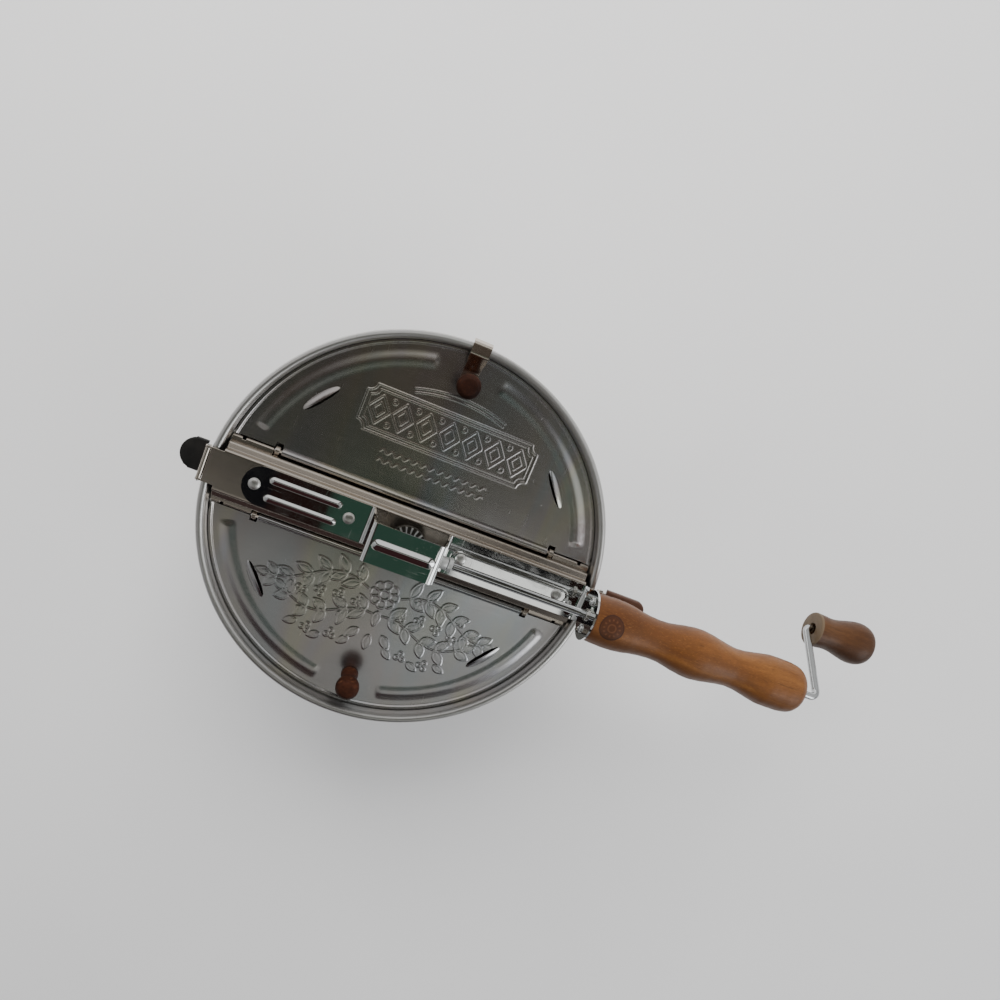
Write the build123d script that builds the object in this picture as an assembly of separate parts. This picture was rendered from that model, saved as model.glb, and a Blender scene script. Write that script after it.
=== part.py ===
from build123d import *
import math
import os

# Stovetop popcorn popper: pan, crossbar with two half lids, geared stirrer,
# crank rod through a wood handle. Millimetres, +Z up, origin at the centre of
# the pan's underside, handle along +X.

# ---- rim and pan ---------------------------------------------------------
RIM_Z = 140.0          # centre height of the rolled bead
RIM_R = 127.0          # outside radius of the bead (254 mm over the rim)
BEAD = 2.5             # bead radius
BEAD_RC = RIM_R - BEAD
COLLAR_RI = 121.5      # inside of the collar round the lids
COLLAR_RO = 122.4
SEAT_Z = 131.8         # top of the step the lids and crossbar sit on
SEAT_RI = 117.0
BASE_R = 112.0         # base radius before the corner is rounded
FLOOR = 1.2            # base thickness

# ---- crossbar ------------------------------------------------------------
BAR_TOP = 144.0
BAR_T = 1.0
BAR_HALF = 118.6       # half length of the full-width channel
TOP_W = 13.9           # half width of the flat top
STEP_W = 18.2          # half width at the lower step
LEDGE_W = 22.2         # half width of the end ledges
LEDGE_Z = 134.6
NECK_W = 11.0          # half width where it passes over the bead

# ---- hinges --------------------------------------------------------------
HY = 21.6              # hinge axis from the centre line
HZ = 134.6
WIRE_R = 1.2
BARREL_R = 2.3
BARREL_HALF = 88.2
EAR_X0, EAR_X1 = 89.6, 92.4

# ---- lids ----------------------------------------------------------------
LID_R = 120.6
LID_Z0 = 132.2
LID_T = 0.8
LID_TOP = LID_Z0 + LID_T
KNOB_Y = 102.0

# ---- drive strap ---------------------------------------------------------
STRAP_W = 12.2         # half width
STRAP_T = 1.2
TAIL_X = -91.5         # centre of the round tail
HAT_XL, HAT_XR = -24.4, 25.0
HAT_TL, HAT_TR = -22.9, 20.6
HAT_TOP = 178.5
PLATE_X = 119.5        # upturned plate against the handle
PLATE_R = 16.2
RIVET_X = (-96.3, -37.1, 36.5, 102.4)

# ---- crank ---------------------------------------------------------------
ROD_Z = 166.0
ROD_R = 2.5
ROD_X0 = 5.5
ARM_X = 288.0
ARM_L = 54.2
ARM_DIR = (-0.0646, 0.6365, -0.7675)   # where the crank points at rest
SPLAY = 2.0                        # the grip end leans out by this angle
KNOB_S0, KNOB_S1 = 4.8, 51.3       # knob's ends along the grip end of the rod

# ---- handle --------------------------------------------------------------
HANDLE_X0 = 120.7
HANDLE_X1 = 273.3
HANDLE_PTS = ((120.7, 15.2), (128, 15.6), (137, 15.9), (146, 15.2), (155, 13.6),
              (165, 12.7), (174, 13.1), (184, 15.0), (194, 16.2), (203, 15.5),
              (212, 13.9), (221, 12.7), (229.3, 13.2), (237.7, 14.8), (246, 16.3),
              (254.3, 16.5), (261.7, 16.3), (267.3, 15.2), (271.2, 12.6))

# ---- gears ---------------------------------------------------------------
MODULE = 1.0
N_PINION = 12
N_CROWN = 20
PITCH_Z = ROD_Z - MODULE * N_PINION / 2      # 160.0
CROWN_RM = MODULE * N_CROWN / 2              # 10.0
CROWN_R0, CROWN_R1 = 8.2, 11.8
CROWN_TIP = PITCH_Z + 0.85
CROWN_ROOT = PITCH_Z - 1.4
PIN_TIP_R = 6.85
PIN_ROOT_R = 4.6
SHAFT_R = 3.0

os.makedirs("parts", exist_ok=True)
PARTS = {}


def box(x0, x1, y0, y1, z0, z1):
    return Pos((x0 + x1) / 2, (y0 + y1) / 2, (z0 + z1) / 2) * Box(x1 - x0, y1 - y0, z1 - z0)


def cyl(p0, p1, r):
    p0, p1 = Vector(*p0), Vector(*p1)
    d = p1 - p0
    pl = Plane(origin=p0, z_dir=d)
    return extrude(pl * Circle(r), amount=d.length)


def turned(pts, axis_origin=(0, 0, 0), curve=None):
    """Solid of revolution about the vertical through axis_origin from (r, z) points."""
    pl = Plane.XZ
    w = Polyline(*[(p[0], p[1]) for p in pts], close=True)
    f = make_face(pl * w)
    return Pos(*axis_origin) * revolve(f, Axis.Z)


def face_of(plane, *curves):
    """Face bounded by curves drawn on plane."""
    es = []
    for c in curves:
        es += list((plane * c).edges())
    return make_face(es)


def dome_arc(a, z0, h):
    """Arc from (a, z0) up to the axis at z0 + h, square to the axis there."""
    r = (a * a + h * h) / (2 * h)
    zc = z0 + h - r
    t = math.asin(a / r) if r > 0 else 0
    return ThreePointArc((a, z0), (r * math.sin(t / 2), zc + r * math.cos(t / 2)), (0, z0 + h))


def tube_path(pts, radii, r):
    path = FilletPolyline(*pts, radius=radii)
    start = path @ 0
    prof = Plane(origin=start, z_dir=path % 0) * Circle(r)
    return sweep(prof, path=path)


def strip(pts, radii, plane, width, thick):
    """Sheet strip of given width swept along a planar line drawn on plane."""
    path = plane * FilletPolyline(*pts, radius=radii)
    o = path @ 0
    d = path % 0
    n = plane.z_dir
    prof = Plane(origin=o, x_dir=n, z_dir=d) * Rectangle(width, thick)
    return sweep(prof, path=path)


def pill(x0, x1, y, w, z, h):
    """Rounded raised rib lying along X, an arc in section with round ends."""
    a = w / 2
    r = (a * a + h * h) / (2 * h)
    zc = z + h - r
    c0, c1 = x0 + a, x1 - a
    s = cyl((c0, y, zc), (c1, y, zc), r) + Pos(c0, y, zc) * Sphere(r) + Pos(c1, y, zc) * Sphere(r)
    return s & box(x0 - 5, x1 + 5, y - 10, y + 10, z - 0.3, z + 5)


# ---- pan -----------------------------------------------------------------
outer = FilletPolyline((0, 0), (BASE_R, 0), (118.0, 129.5), (COLLAR_RO, 131.0), (COLLAR_RO, RIM_Z),
                       radius=[14, 2, 1.2])
inner = FilletPolyline((0, FLOOR), (BASE_R - 1.0, FLOOR), (SEAT_RI, SEAT_Z), (COLLAR_RI, SEAT_Z),
                       (COLLAR_RI, RIM_Z), radius=[12.9, 0.7, 0.8])
rim = Line((COLLAR_RO, RIM_Z), (COLLAR_RI, RIM_Z))
mid = Line((0, 0), (0, FLOOR))
pan_face = face_of(Plane.XZ, outer, rim, inner, mid)
pan = revolve(pan_face, Axis.Z)
bead = Pos(0, 0, RIM_Z) * Torus(BEAD_RC, BEAD)
PARTS["pan_body"] = pan + bead

# ---- crossbar ------------------------------------------------------------
def bar_section(out_pts, in_pts):
    w = Polyline(*(out_pts + in_pts[::-1]), close=True)
    return make_face(Plane.YZ * w)


T = BAR_T
sec_out = [(-STEP_W, 132.0), (-STEP_W, 138.6), (-TOP_W, 139.6), (-TOP_W, BAR_TOP),
           (TOP_W, BAR_TOP), (TOP_W, 139.6), (STEP_W, 138.6), (STEP_W, 132.0)]
sec_in = [(-STEP_W + T, 132.0), (-STEP_W + T, 137.8), (-TOP_W + T, 138.8), (-TOP_W + T, BAR_TOP - T),
          (TOP_W - T, BAR_TOP - T), (TOP_W - T, 138.8), (STEP_W - T, 137.8), (STEP_W - T, 132.0)]
sec = bar_section(sec_out, sec_in)
bar = Pos(-BAR_HALF, 0, 0) * extrude(sec, amount=2 * BAR_HALF, dir=(1, 0, 0))
long_edges = [e for e in bar.edges().filter_by(Axis.X)
              if abs(abs(e.center().Y) - TOP_W) < 0.01 and abs(e.center().Z - BAR_TOP) < 0.01]
bar = fillet(long_edges, 0.9)
# ears for the tab latch and the release lever
LATCH_P = (-128.1, 142.6)
LATCH_Y = 0.9          # the latch and its neck sit a little off centre
LATCH_PIN_R = 0.8
LEVER_P = (131.0, 140.8)
TAB_Y = 2.3            # the tab sits a little off centre
PIN_R = 1.2
# necks that carry the top over the bead at each end
bar += box(BAR_HALF - 2, 133.4, -NECK_W, NECK_W, BAR_TOP - T, BAR_TOP)
bar += box(-126.2, -BAR_HALF + 2, LATCH_Y - NECK_W, LATCH_Y + NECK_W, BAR_TOP - T, BAR_TOP)
for s in (-1, 1):
    # end ledges beside the lids, with feet down to the pan's seat
    for x0, x1 in ((93.4, BAR_HALF), (-BAR_HALF, -93.4)):
        y0, y1 = sorted((s * (STEP_W - T), s * LEDGE_W))
        bar += box(x0, x1, y0, y1, LEDGE_Z - T, LEDGE_Z)
        fx0, fx1 = (115.4, BAR_HALF) if x0 > 0 else (-BAR_HALF, -115.4)
        bar += box(fx0, fx1, y0, y1, SEAT_Z, LEDGE_Z - T)
        sx = 110.6 if x0 > 0 else -112.8
        bar -= box(sx, sx + 2.2, *sorted((s * 20.6, s * 22.6)), LEDGE_Z - 3, LEDGE_Z + 1)
    # hinge ears
    for x0 in (EAR_X0, -EAR_X1):
        ear = box(x0, x0 + EAR_X1 - EAR_X0, *sorted((s * (STEP_W - T), s * (HY + 2.9))), 132.0, HZ + 2.6)
        ear -= cyl((x0 - 1, s * HY, HZ), (x0 + 4, s * HY, HZ), WIRE_R)
        bar += ear
for s in (-1, 1):
    y0, y1 = sorted((s * 10.0, s * NECK_W))
    e1 = box(-129.8, -127.05, LATCH_Y + y0, LATCH_Y + y1, 140.6, BAR_TOP)
    e1 += box(-127.2, -126.0, LATCH_Y + y0, LATCH_Y + y1, 142.9, BAR_TOP)
    e2 = box(128.6, 133.4, y0, y1, 138.4, BAR_TOP)
    bar += e1 + e2
bar -= cyl((LATCH_P[0], -14, LATCH_P[1]), (LATCH_P[0], 14, LATCH_P[1]), LATCH_PIN_R)
bar -= cyl((LEVER_P[0], -14, LEVER_P[1]), (LEVER_P[0], 14, LEVER_P[1]), PIN_R)
BUSH_R = 4.6
bar -= cyl((0, 0, 130), (0, 0, 150), BUSH_R)
RIV_R = 1.9
for x in RIVET_X:
    bar -= cyl((x, 0, 140), (x, 0, 150), RIV_R)
PARTS["crossbar"] = bar

# ---- drive strap ---------------------------------------------------------
zc = BAR_TOP + STRAP_T / 2
strap_pts = [(TAIL_X - STRAP_W, zc), (HAT_XL, zc), (HAT_TL, HAT_TOP - 0.6), (HAT_TR, HAT_TOP - 0.6),
             (HAT_XR, zc), (PLATE_X + 0.6, zc), (PLATE_X + 0.6, ROD_Z)]
strap = strip(strap_pts, [1.6, 1.8, 4.0, 1.8, 2.6], Plane.XZ, 2 * STRAP_W, STRAP_T)
tail = Pos(TAIL_X, 0, BAR_TOP - 2) * Cylinder(STRAP_W, 8, align=(Align.CENTER, Align.CENTER, Align.MIN))
keep = tail + box(TAIL_X, 130, -20, 20, 130, 190)
strap = strap & keep
strap += cyl((PLATE_X, 0, ROD_Z), (PLATE_X + STRAP_T, 0, ROD_Z), PLATE_R)
for s in (-1, 1):
    strap += pill(-88.0, -44.0, s * 5.7, 4.2, BAR_TOP + STRAP_T, 0.9)
    strap += pill(31.0, 110.5, s * 7.4, 4.2, BAR_TOP + STRAP_T, 0.9)
strap += pill(-20.0, 17.5, 0, 6.4, HAT_TOP, 1.3)
TUBE_RO = 4.0
strap -= cyl((15, 0, ROD_Z), (30, 0, ROD_Z), TUBE_RO)
strap -= cyl((115, 0, ROD_Z), (125, 0, ROD_Z), TUBE_RO)
HS = 9.4
SCREW_R = 1.5
for s in (-1, 1):
    strap -= cyl((115, s * HS, ROD_Z), (125, s * HS, ROD_Z), SCREW_R)
for x in RIVET_X:
    strap -= cyl((x, 0, 140), (x, 0, 150), RIV_R)
PARTS["drive_strap"] = strap

# ---- rivets --------------------------------------------------------------
for i, x in enumerate(RIVET_X):
    zt = BAR_TOP + STRAP_T
    zb = BAR_TOP - T
    w = [(0, zb - 1.3), (2.9, zb - 1.3), (2.9, zb), (RIV_R, zb), (RIV_R, zt), (3.7, zt), (3.7, zt + 0.5)]
    l1 = Polyline(*w)
    l2 = dome_arc(3.7, zt + 0.5, 1.4)
    l3 = Line((0, zt + 1.9), (0, zb - 1.3))
    f = face_of(Plane.XZ, l1, l2, l3)
    PARTS[f"rivet_{i + 1}"] = Pos(x, 0, 0) * revolve(f, Axis.Z)

# ---- bushes --------------------------------------------------------------
PARTS["shaft_bush"] = turned([(SHAFT_R + 0.05, 137.0), (BUSH_R, 137.0), (BUSH_R, BAR_TOP), (7.0, BAR_TOP),
                              (7.0, BAR_TOP + 1.3), (SHAFT_R + 0.05, BAR_TOP + 1.3)])
PARTS["rod_bush"] = cyl((18.4, 0, ROD_Z), (26.4, 0, ROD_Z), TUBE_RO) - cyl((17, 0, ROD_Z), (28, 0, ROD_Z), ROD_R + 0.05)

# ---- hinge wires ---------------------------------------------------------
for n, s in (("a", 1), ("b", -1)):
    PARTS[f"hinge_wire_{n}"] = cyl((-93.0, s * HY, HZ), (93.0, s * HY, HZ), WIRE_R)

# ---- handle --------------------------------------------------------------
hp = [(x, r) for x, r in HANDLE_PTS]
sp = Spline(*hp, tangents=[(1, 0.05), (0.25, -1)])
e0 = Line((HANDLE_X0, TUBE_RO), (HANDLE_X0, hp[0][1]))
arc = ThreePointArc(hp[-1], (HANDLE_X1 - 0.6, 9.6), (HANDLE_X1, 6.6))
e1 = Line((HANDLE_X1, 6.6), (HANDLE_X1, TUBE_RO))
e2 = Line((HANDLE_X1, TUBE_RO), (HANDLE_X0, TUBE_RO))
hf = face_of(Plane.XZ, sp, e0, arc, e1, e2)
handle = Pos(0, 0, ROD_Z) * revolve(hf, Axis.X)
for s in (-1, 1):
    handle -= cyl((119, s * HS, ROD_Z), (141, s * HS, ROD_Z), SCREW_R)
PARTS["handle"] = handle
PARTS["handle_tube"] = (cyl((118.2, 0, ROD_Z), (HANDLE_X1 - 0.9, 0, ROD_Z), TUBE_RO)
                        - cyl((117, 0, ROD_Z), (280, 0, ROD_Z), ROD_R + 0.06))
for n, s in (("a", 1), ("b", -1)):
    hd = extrude(Plane(origin=(PLATE_X - 1.7, s * HS, ROD_Z), z_dir=(1, 0, 0)) * Circle(2.9), amount=1.7)
    hd = fillet(hd.edges().sort_by(Axis.X)[0], 1.2)
    sc = hd + cyl((PLATE_X - 0.5, s * HS, ROD_Z), (140.5, s * HS, ROD_Z), SCREW_R)
    sc -= box(PLATE_X - 2.2, PLATE_X - 1.0, s * HS - 2.6, s * HS + 2.6, ROD_Z - 0.35, ROD_Z + 0.35)
    PARTS[f"handle_screw_{n}"] = sc

# ---- crank ---------------------------------------------------------------
ad = Vector(*ARM_DIR).normalized()
P1 = Vector(ARM_X, 0, ROD_Z)
P2 = P1 + ad * ARM_L
sa = math.radians(SPLAY)
u = Vector(math.cos(sa), 0, 0) + ad * math.sin(sa)
P3 = P2 + u * (KNOB_S1 - 6.5)
rod = tube_path([(ROD_X0, 0, ROD_Z), tuple(P1), tuple(P2), tuple(P3)], [5.5, 4.2], ROD_R)
rod -= cyl((15.2, -4, ROD_Z), (15.2, 4, ROD_Z), 0.8)
PARTS["crank_rod"] = rod


def tooth_ring_pinion():
    """Straight-toothed pinion on the rod, a tooth gap pointing straight down."""
    x0, x1 = 9.0, 11.0
    body = cyl((x0, 0, ROD_Z), (17.8, 0, ROD_Z), 4.3) + cyl((x0, 0, ROD_Z), (x1, 0, ROD_Z), PIN_ROOT_R)
    step = 360.0 / N_PINION
    ht, hp_, hr = 0.32, 0.56, 0.85
    sec_pts = [(PIN_ROOT_R - 0.5, -hr), (6.0, -hp_), (PIN_TIP_R, -ht), (PIN_TIP_R, ht), (6.0, hp_), (PIN_ROOT_R - 0.5, hr)]
    pl = Plane(origin=(x0, 0, ROD_Z), x_dir=(0, 0, -1), z_dir=(1, 0, 0))
    tooth = extrude(make_face(pl * Polyline(*sec_pts, close=True)), amount=x1 - x0)
    for k in range(N_PINION):
        body += tooth.rotate(Axis((0, 0, ROD_Z), (1, 0, 0)), (k + 0.5) * step)
    body -= cyl((x0 - 1, 0, ROD_Z), (20, 0, ROD_Z), ROD_R)
    body -= cyl((15.2, -6, ROD_Z), (15.2, 6, ROD_Z), 0.8)
    return body


PARTS["pinion"] = tooth_ring_pinion()
PARTS["pinion_pin"] = cyl((15.2, -5.2, ROD_Z), (15.2, 5.2, ROD_Z), 0.8)
PARTS["rod_collar"] = cyl((27.0, 0, ROD_Z), (29.6, 0, ROD_Z), 4.4) - cyl((26, 0, ROD_Z), (31, 0, ROD_Z), ROD_R)

# grip on the crank's end: axis through P2 along u
KP = Plane(origin=P2, z_dir=u)
L = KNOB_S1 - KNOB_S0
kpts = [(12.0, KNOB_S0 + 0.8), (11.7, KNOB_S0 + 6), (11.2, KNOB_S0 + 12), (11.7, KNOB_S0 + 18), (13.3, KNOB_S0 + 25),
        (14.7, KNOB_S0 + 32), (14.6, KNOB_S0 + 38), (12.6, KNOB_S0 + 43), (9.0, KNOB_S1 - 0.7)]
ks = Spline(*kpts, tangents=[(0, 1), (-1, 0.45)])
k0 = Polyline((ROD_R + 0.05, KNOB_S0 + 4.5), (4.0, KNOB_S0 + 3.5), (4.0, KNOB_S0), (11.2, KNOB_S0), (12.0, KNOB_S0 + 0.8))
k1 = Polyline((9.0, KNOB_S1 - 0.7), (7.0, KNOB_S1), (5.6, KNOB_S1), (5.6, KNOB_S1 - 11.0), (ROD_R + 0.05, KNOB_S1 - 11.0), (ROD_R + 0.05, KNOB_S0 + 4.5))
kf = face_of(Plane.XZ, ks, k0, k1)
knob = revolve(kf, Axis.Z)
PARTS["crank_knob"] = KP.location * knob
ret = extrude(Pos(0, 0, KNOB_S1 - 10.4) * Circle(4.8), amount=2.2)
ret = fillet(ret.edges().group_by(Axis.Z)[-1], 0.8)
ret -= extrude(Pos(0, 0, KNOB_S1 - 13.0) * Circle(ROD_R), amount=8)
PARTS["knob_retainer"] = KP.location * ret

# ---- stirrer -------------------------------------------------------------
PARTS["stir_shaft"] = cyl((0, 0, 5.0), (0, 0, CROWN_ROOT + 1.2), SHAFT_R) - cyl((0, -5, 150.4), (0, 5, 150.4), 0.9)


def crown():
    g = turned([(SHAFT_R, 146.6), (6.2, 146.6), (6.2, 153.6), (CROWN_R1, 155.4), (CROWN_R1, CROWN_ROOT), (CROWN_R0 - 0.8, CROWN_ROOT),
                (CROWN_R0 - 1.2, CROWN_ROOT + 0.8), (SHAFT_R, CROWN_ROOT + 0.8)])
    step = 360.0 / N_CROWN

    def sect(r):
        k = r / CROWN_RM
        hr, ht = 0.80 * k, 0.34 * k
        return Plane(origin=(r, 0, 0), x_dir=(0, 1, 0), z_dir=(1, 0, 0)) * Polyline(
            (-hr, CROWN_ROOT - 0.3), (-ht, CROWN_TIP), (ht, CROWN_TIP), (hr, CROWN_ROOT - 0.3), close=True)

    tooth = Solid.make_loft([sect(CROWN_R0).wire() if hasattr(sect(CROWN_R0), "wire") else sect(CROWN_R0),
                             sect(CROWN_R1).wire() if hasattr(sect(CROWN_R1), "wire") else sect(CROWN_R1)], ruled=True)
    for k in range(N_CROWN):
        g += tooth.rotate(Axis.Z, k * step)
    g &= Pos(0, 0, 150) * Cylinder(CROWN_R1, 40)
    g -= cyl((0, -8, 150.4), (0, 8, 150.4), 0.9)
    return g


PARTS["crown_gear"] = crown()
PARTS["gear_pin"] = cyl((0, -7.0, 150.4), (0, 7.0, 150.4), 0.9)
PARTS["shaft_washer"] = turned([(SHAFT_R, 145.45), (5.6, 145.45), (5.6, 146.55), (SHAFT_R, 146.55)])
PARTS["shaft_clip"] = turned([(SHAFT_R, 135.6), (5.2, 135.6), (5.2, 136.7), (SHAFT_R, 136.7)])

A = [(13.5, 0, 9.0), (21.0, 0, 3.3), (56.0, -7.0, 3.3), (86.0, -30.0, 3.3), (92.5, -38.0, 13.0)]
B = [(-x, -y, z) for x, y, z in A][::-1]
SW_R = 1.6
stir = tube_path(B + A, [4.0, 26.0, 5.0, 5.0, 5.0, 5.0, 26.0, 4.0], SW_R)
REST_STIR = 35.0
stir = stir.rotate(Axis.Z, REST_STIR)
PARTS["stir_wire"] = stir
c35, s35 = math.cos(math.radians(REST_STIR)), math.sin(math.radians(REST_STIR))
hub = turned([(SHAFT_R, 5.0), (6.2, 5.0), (6.6, 5.6), (6.6, 12.6), (6.2, 13.2), (SHAFT_R, 13.2)])
hub += extrude(Pos(0, 0, 4.6) * Circle(6.2), amount=0.4)
hub -= cyl((-12 * c35, -12 * s35, 9.0), (12 * c35, 12 * s35, 9.0), SW_R)
hub -= cyl((0, 0, 8), (-12 * s35, 12 * c35, 8 + 0.0), 1.5)
PARTS["wire_hub"] = hub
PARTS["stir_shaft"] = PARTS["stir_shaft"] - cyl((-12 * c35, -12 * s35, 9.0), (12 * c35, 12 * s35, 9.0), SW_R)
PARTS["hub_screw"] = (cyl((-3.05 * s35, 3.05 * c35, 8), (-7.6 * s35, 7.6 * c35, 8), 1.5)
                      + cyl((-7.0 * s35, 7.0 * c35, 8), (-8.8 * s35, 8.8 * c35, 8), 2.6))


# ---- lids ----------------------------------------------------------------
def lid_panel():
    """Half lid on the +Y side."""
    disc = Pos(0, 0, LID_Z0) * Cylinder(LID_R, LID_T, align=(Align.CENTER, Align.CENTER, Align.MIN))
    lip = turned([(LID_R - 1.5, LID_Z0), (LID_R, LID_Z0), (LID_R, LID_TOP + 0.8), (LID_R - 0.6, LID_TOP + 1.1),
                  (LID_R - 1.5, LID_TOP + 0.6)])
    p = disc + lip
    for r0, a0, a1 in ((109.6, 17, 79), (109.6, 101, 163)):
        f = make_face(Plane.XZ * Polyline((r0 - 1.6, LID_TOP - 0.3), (r0 - 1.3, LID_TOP), (r0 - 0.5, LID_TOP + 0.7),
                                          (r0 + 0.5, LID_TOP + 0.7), (r0 + 1.3, LID_TOP), (r0 + 1.6, LID_TOP - 0.3), close=True))
        p += revolve(f, Axis.Z, revolution_arc=a1 - a0).rotate(Axis.Z, a0)
    keep = box(-130, 130, 22.9, 130, 120, 150) + box(-88.9, 88.9, HY, 30, 120, 150)
    p &= keep
    for s in (-1, 1):
        p -= box(*sorted((s * 88.9, s * 93.1)), 20, 26.0, 120, 150)
    p += cyl((-BARREL_HALF, HY, HZ), (BARREL_HALF, HY, HZ), BARREL_R)
    p -= cyl((-100, HY, HZ), (100, HY, HZ), WIRE_R + 0.05)
    # louvred vents
    for sx in (-1, 1):
        cx, cy = sx * 77.6, 61.0
        ang = math.degrees(math.atan2(cy, cx)) - 90
        loc = Location((cx, cy, LID_TOP), (0, 0, ang))
        # local +Y points outwards from the centre
        hood = Pos(0, 0, 0) * (Rot(0, 90, 0) * Cylinder(2.9, 25.0))
        hollow = Rot(0, 90, 0) * Cylinder(2.2, 23.8)
        up = box(-20, 20, -5, 5, -0.4, 6)
        shell = ((hood - hollow) & up) - box(-11.9, 11.9, -5, -0.9, 0.02, 6)
        p -= loc * box(-11.9, 11.9, -2.15, 2.15, -5, 5)
        p += loc * shell
    p -= cyl((0, KNOB_Y, 120), (0, KNOB_Y, 150), 1.9)
    return p


lid_a = lid_panel()
PARTS["lid_a"] = lid_a
PARTS["lid_b"] = mirror(lid_panel(), Plane.XZ)


def lid_knob(zb, y):
    l1 = Polyline((1.9, zb), (5.3, zb), (5.6, zb + 1.2))
    l2 = Spline((5.6, zb + 1.2), (4.6, zb + 5.5), (5.0, zb + 10.5), (6.9, zb + 15.5), (7.5, zb + 19.0), (7.0, zb + 22.4), (5.4, zb + 24.2),
                tangents=[(-0.2, 1), (-1, 0.7)])
    l3 = dome_arc(5.4, zb + 24.2, 0.9)
    l4 = Polyline((0, zb + 25.1), (0, zb + 14.2), (1.9, zb + 14.2), (1.9, zb))
    f = face_of(Plane.XZ, l1, l2, l3, l4)
    return Pos(0, y, 0) * revolve(f, Axis.Z)


CLIP_T = 0.9
PARTS["lid_knob_a"] = lid_knob(LID_TOP + CLIP_T, KNOB_Y)
PARTS["lid_knob_b"] = lid_knob(LID_TOP, -KNOB_Y)
for n, y, z1 in (("a", KNOB_Y, LID_TOP + CLIP_T + 14.2), ("b", -KNOB_Y, LID_TOP + 14.2)):
    h = extrude(Pos(0, y, LID_Z0 - 2.2) * Circle(3.8), amount=2.2)
    h = fillet(h.edges().group_by(Axis.Z)[0], 1.4)
    h += cyl((0, y, LID_Z0 - 0.5), (0, y, z1), 1.9)
    h -= box(-4.5, 4.5, y - 0.4, y + 0.4, LID_Z0 - 3, LID_Z0 - 1.4)
    PARTS[f"knob_screw_{n}"] = h

# spring clip from under knob a out over the rim
cz = LID_TOP + CLIP_T / 2
clip = strip([(95.5, cz), (110.0, cz), (120.4, 143.7), (127.7, 143.7), (129.2, 139.4)], [3.0, 3.0, 1.6], Plane.YZ, 11.6, CLIP_T)
clip -= cyl((0, KNOB_Y, 120), (0, KNOB_Y, 150), 1.9)
PARTS["lid_clip"] = clip

# ---- tab latch at the -X end --------------------------------------------
lx, lz = LATCH_P
ly = LATCH_Y
plate = cyl((lx, ly - 9.6, lz), (lx, ly + 9.6, lz), 1.6)
plate += box(lx - 1.2, lx, ly - 9.6, ly + 9.6, 132.6, lz)
plate += box(lx - 12.5, lx, ly - 7.4, ly + 7.4, 132.6, 133.8)
plate += box(lx - 1.2, -126.3, ly - 6.0, ly + 6.0, 135.4, 136.7)
plate -= cyl((lx, -14, lz), (lx, 14, lz), LATCH_PIN_R + 0.05)
PARTS["latch_plate"] = plate
tab = box(-137.6, -130.2, TAB_Y - 10.0, TAB_Y + 10.0, 131.3, 135.1)
tab += Pos(-134.6, TAB_Y, 131.3) * Cylinder(10.0, 3.8, align=(Align.CENTER, Align.CENTER, Align.MIN))
tab = tab & box(-150, -130.2, -20, 20, 120, 140)
tab = fillet([e for e in tab.edges() if abs(e.center().Z - 131.3) < 0.01 or abs(e.center().Z - 135.1) < 0.01], 0.9)
tab -= box(lx - 12.5, -120, ly - 7.4, ly + 7.4, 132.6, 133.8)
PARTS["latch_tab"] = tab
PARTS["latch_pin"] = cyl((lx, ly - 11.8, lz), (lx, ly + 11.8, lz), LATCH_PIN_R)

# ---- release lever under the handle --------------------------------------
vx, vz = LEVER_P
lev = cyl((vx, -9.6, vz), (vx, 9.6, vz), 2.1)
lev += box(vx, 157.0, -9.6, 9.6, vz - 0.6, vz + 0.6)
lev += box(vx - 2.1, vx - 0.9, -8.0, 8.0, 135.3, vz)
lev += box(126.3, vx - 0.9, -6.0, 6.0, 135.3, 136.5)
lev -= cyl((vx, -12, vz), (vx, 12, vz), PIN_R + 0.05)
PARTS["lever_plate"] = lev
grip = box(134.6, 163.0, -13.4, 13.4, vz - 2.2, vz + 2.2)
grip = fillet([e for e in grip.edges().filter_by(Axis.Z) if e.center().X > 150], 6.5)
grip = fillet([e for e in grip.edges() if abs(abs(e.center().Z - vz) - 2.2) < 0.01], 1.4)
grip -= box(120, 157.0, -9.6, 9.6, vz - 0.6, vz + 0.6)
PARTS["lever_grip"] = grip
PARTS["lever_pin"] = cyl((vx, -11.8, vz), (vx, 11.8, vz), PIN_R)

for name, shape in PARTS.items():
    export_step(shape, f"parts/{name}.step")
print(len(PARTS), "parts")
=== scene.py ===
import bpy
import bmesh
import math
import random
import numpy as np
from mathutils import Vector, Matrix


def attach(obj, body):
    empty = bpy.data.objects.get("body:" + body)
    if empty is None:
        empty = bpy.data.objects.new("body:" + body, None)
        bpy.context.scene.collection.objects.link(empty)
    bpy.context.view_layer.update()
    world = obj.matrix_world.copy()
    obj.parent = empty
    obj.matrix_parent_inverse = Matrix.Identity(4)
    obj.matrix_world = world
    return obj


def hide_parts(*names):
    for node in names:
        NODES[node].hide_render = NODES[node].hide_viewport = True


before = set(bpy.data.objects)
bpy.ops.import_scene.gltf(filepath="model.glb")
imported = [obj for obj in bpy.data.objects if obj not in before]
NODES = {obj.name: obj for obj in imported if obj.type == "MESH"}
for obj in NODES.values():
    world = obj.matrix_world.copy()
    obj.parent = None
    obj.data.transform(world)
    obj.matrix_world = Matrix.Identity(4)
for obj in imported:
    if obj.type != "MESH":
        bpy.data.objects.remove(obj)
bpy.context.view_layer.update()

MM = 0.001
COLL = bpy.context.scene.collection

# ---------------------------------------------------------------- helpers --


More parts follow.
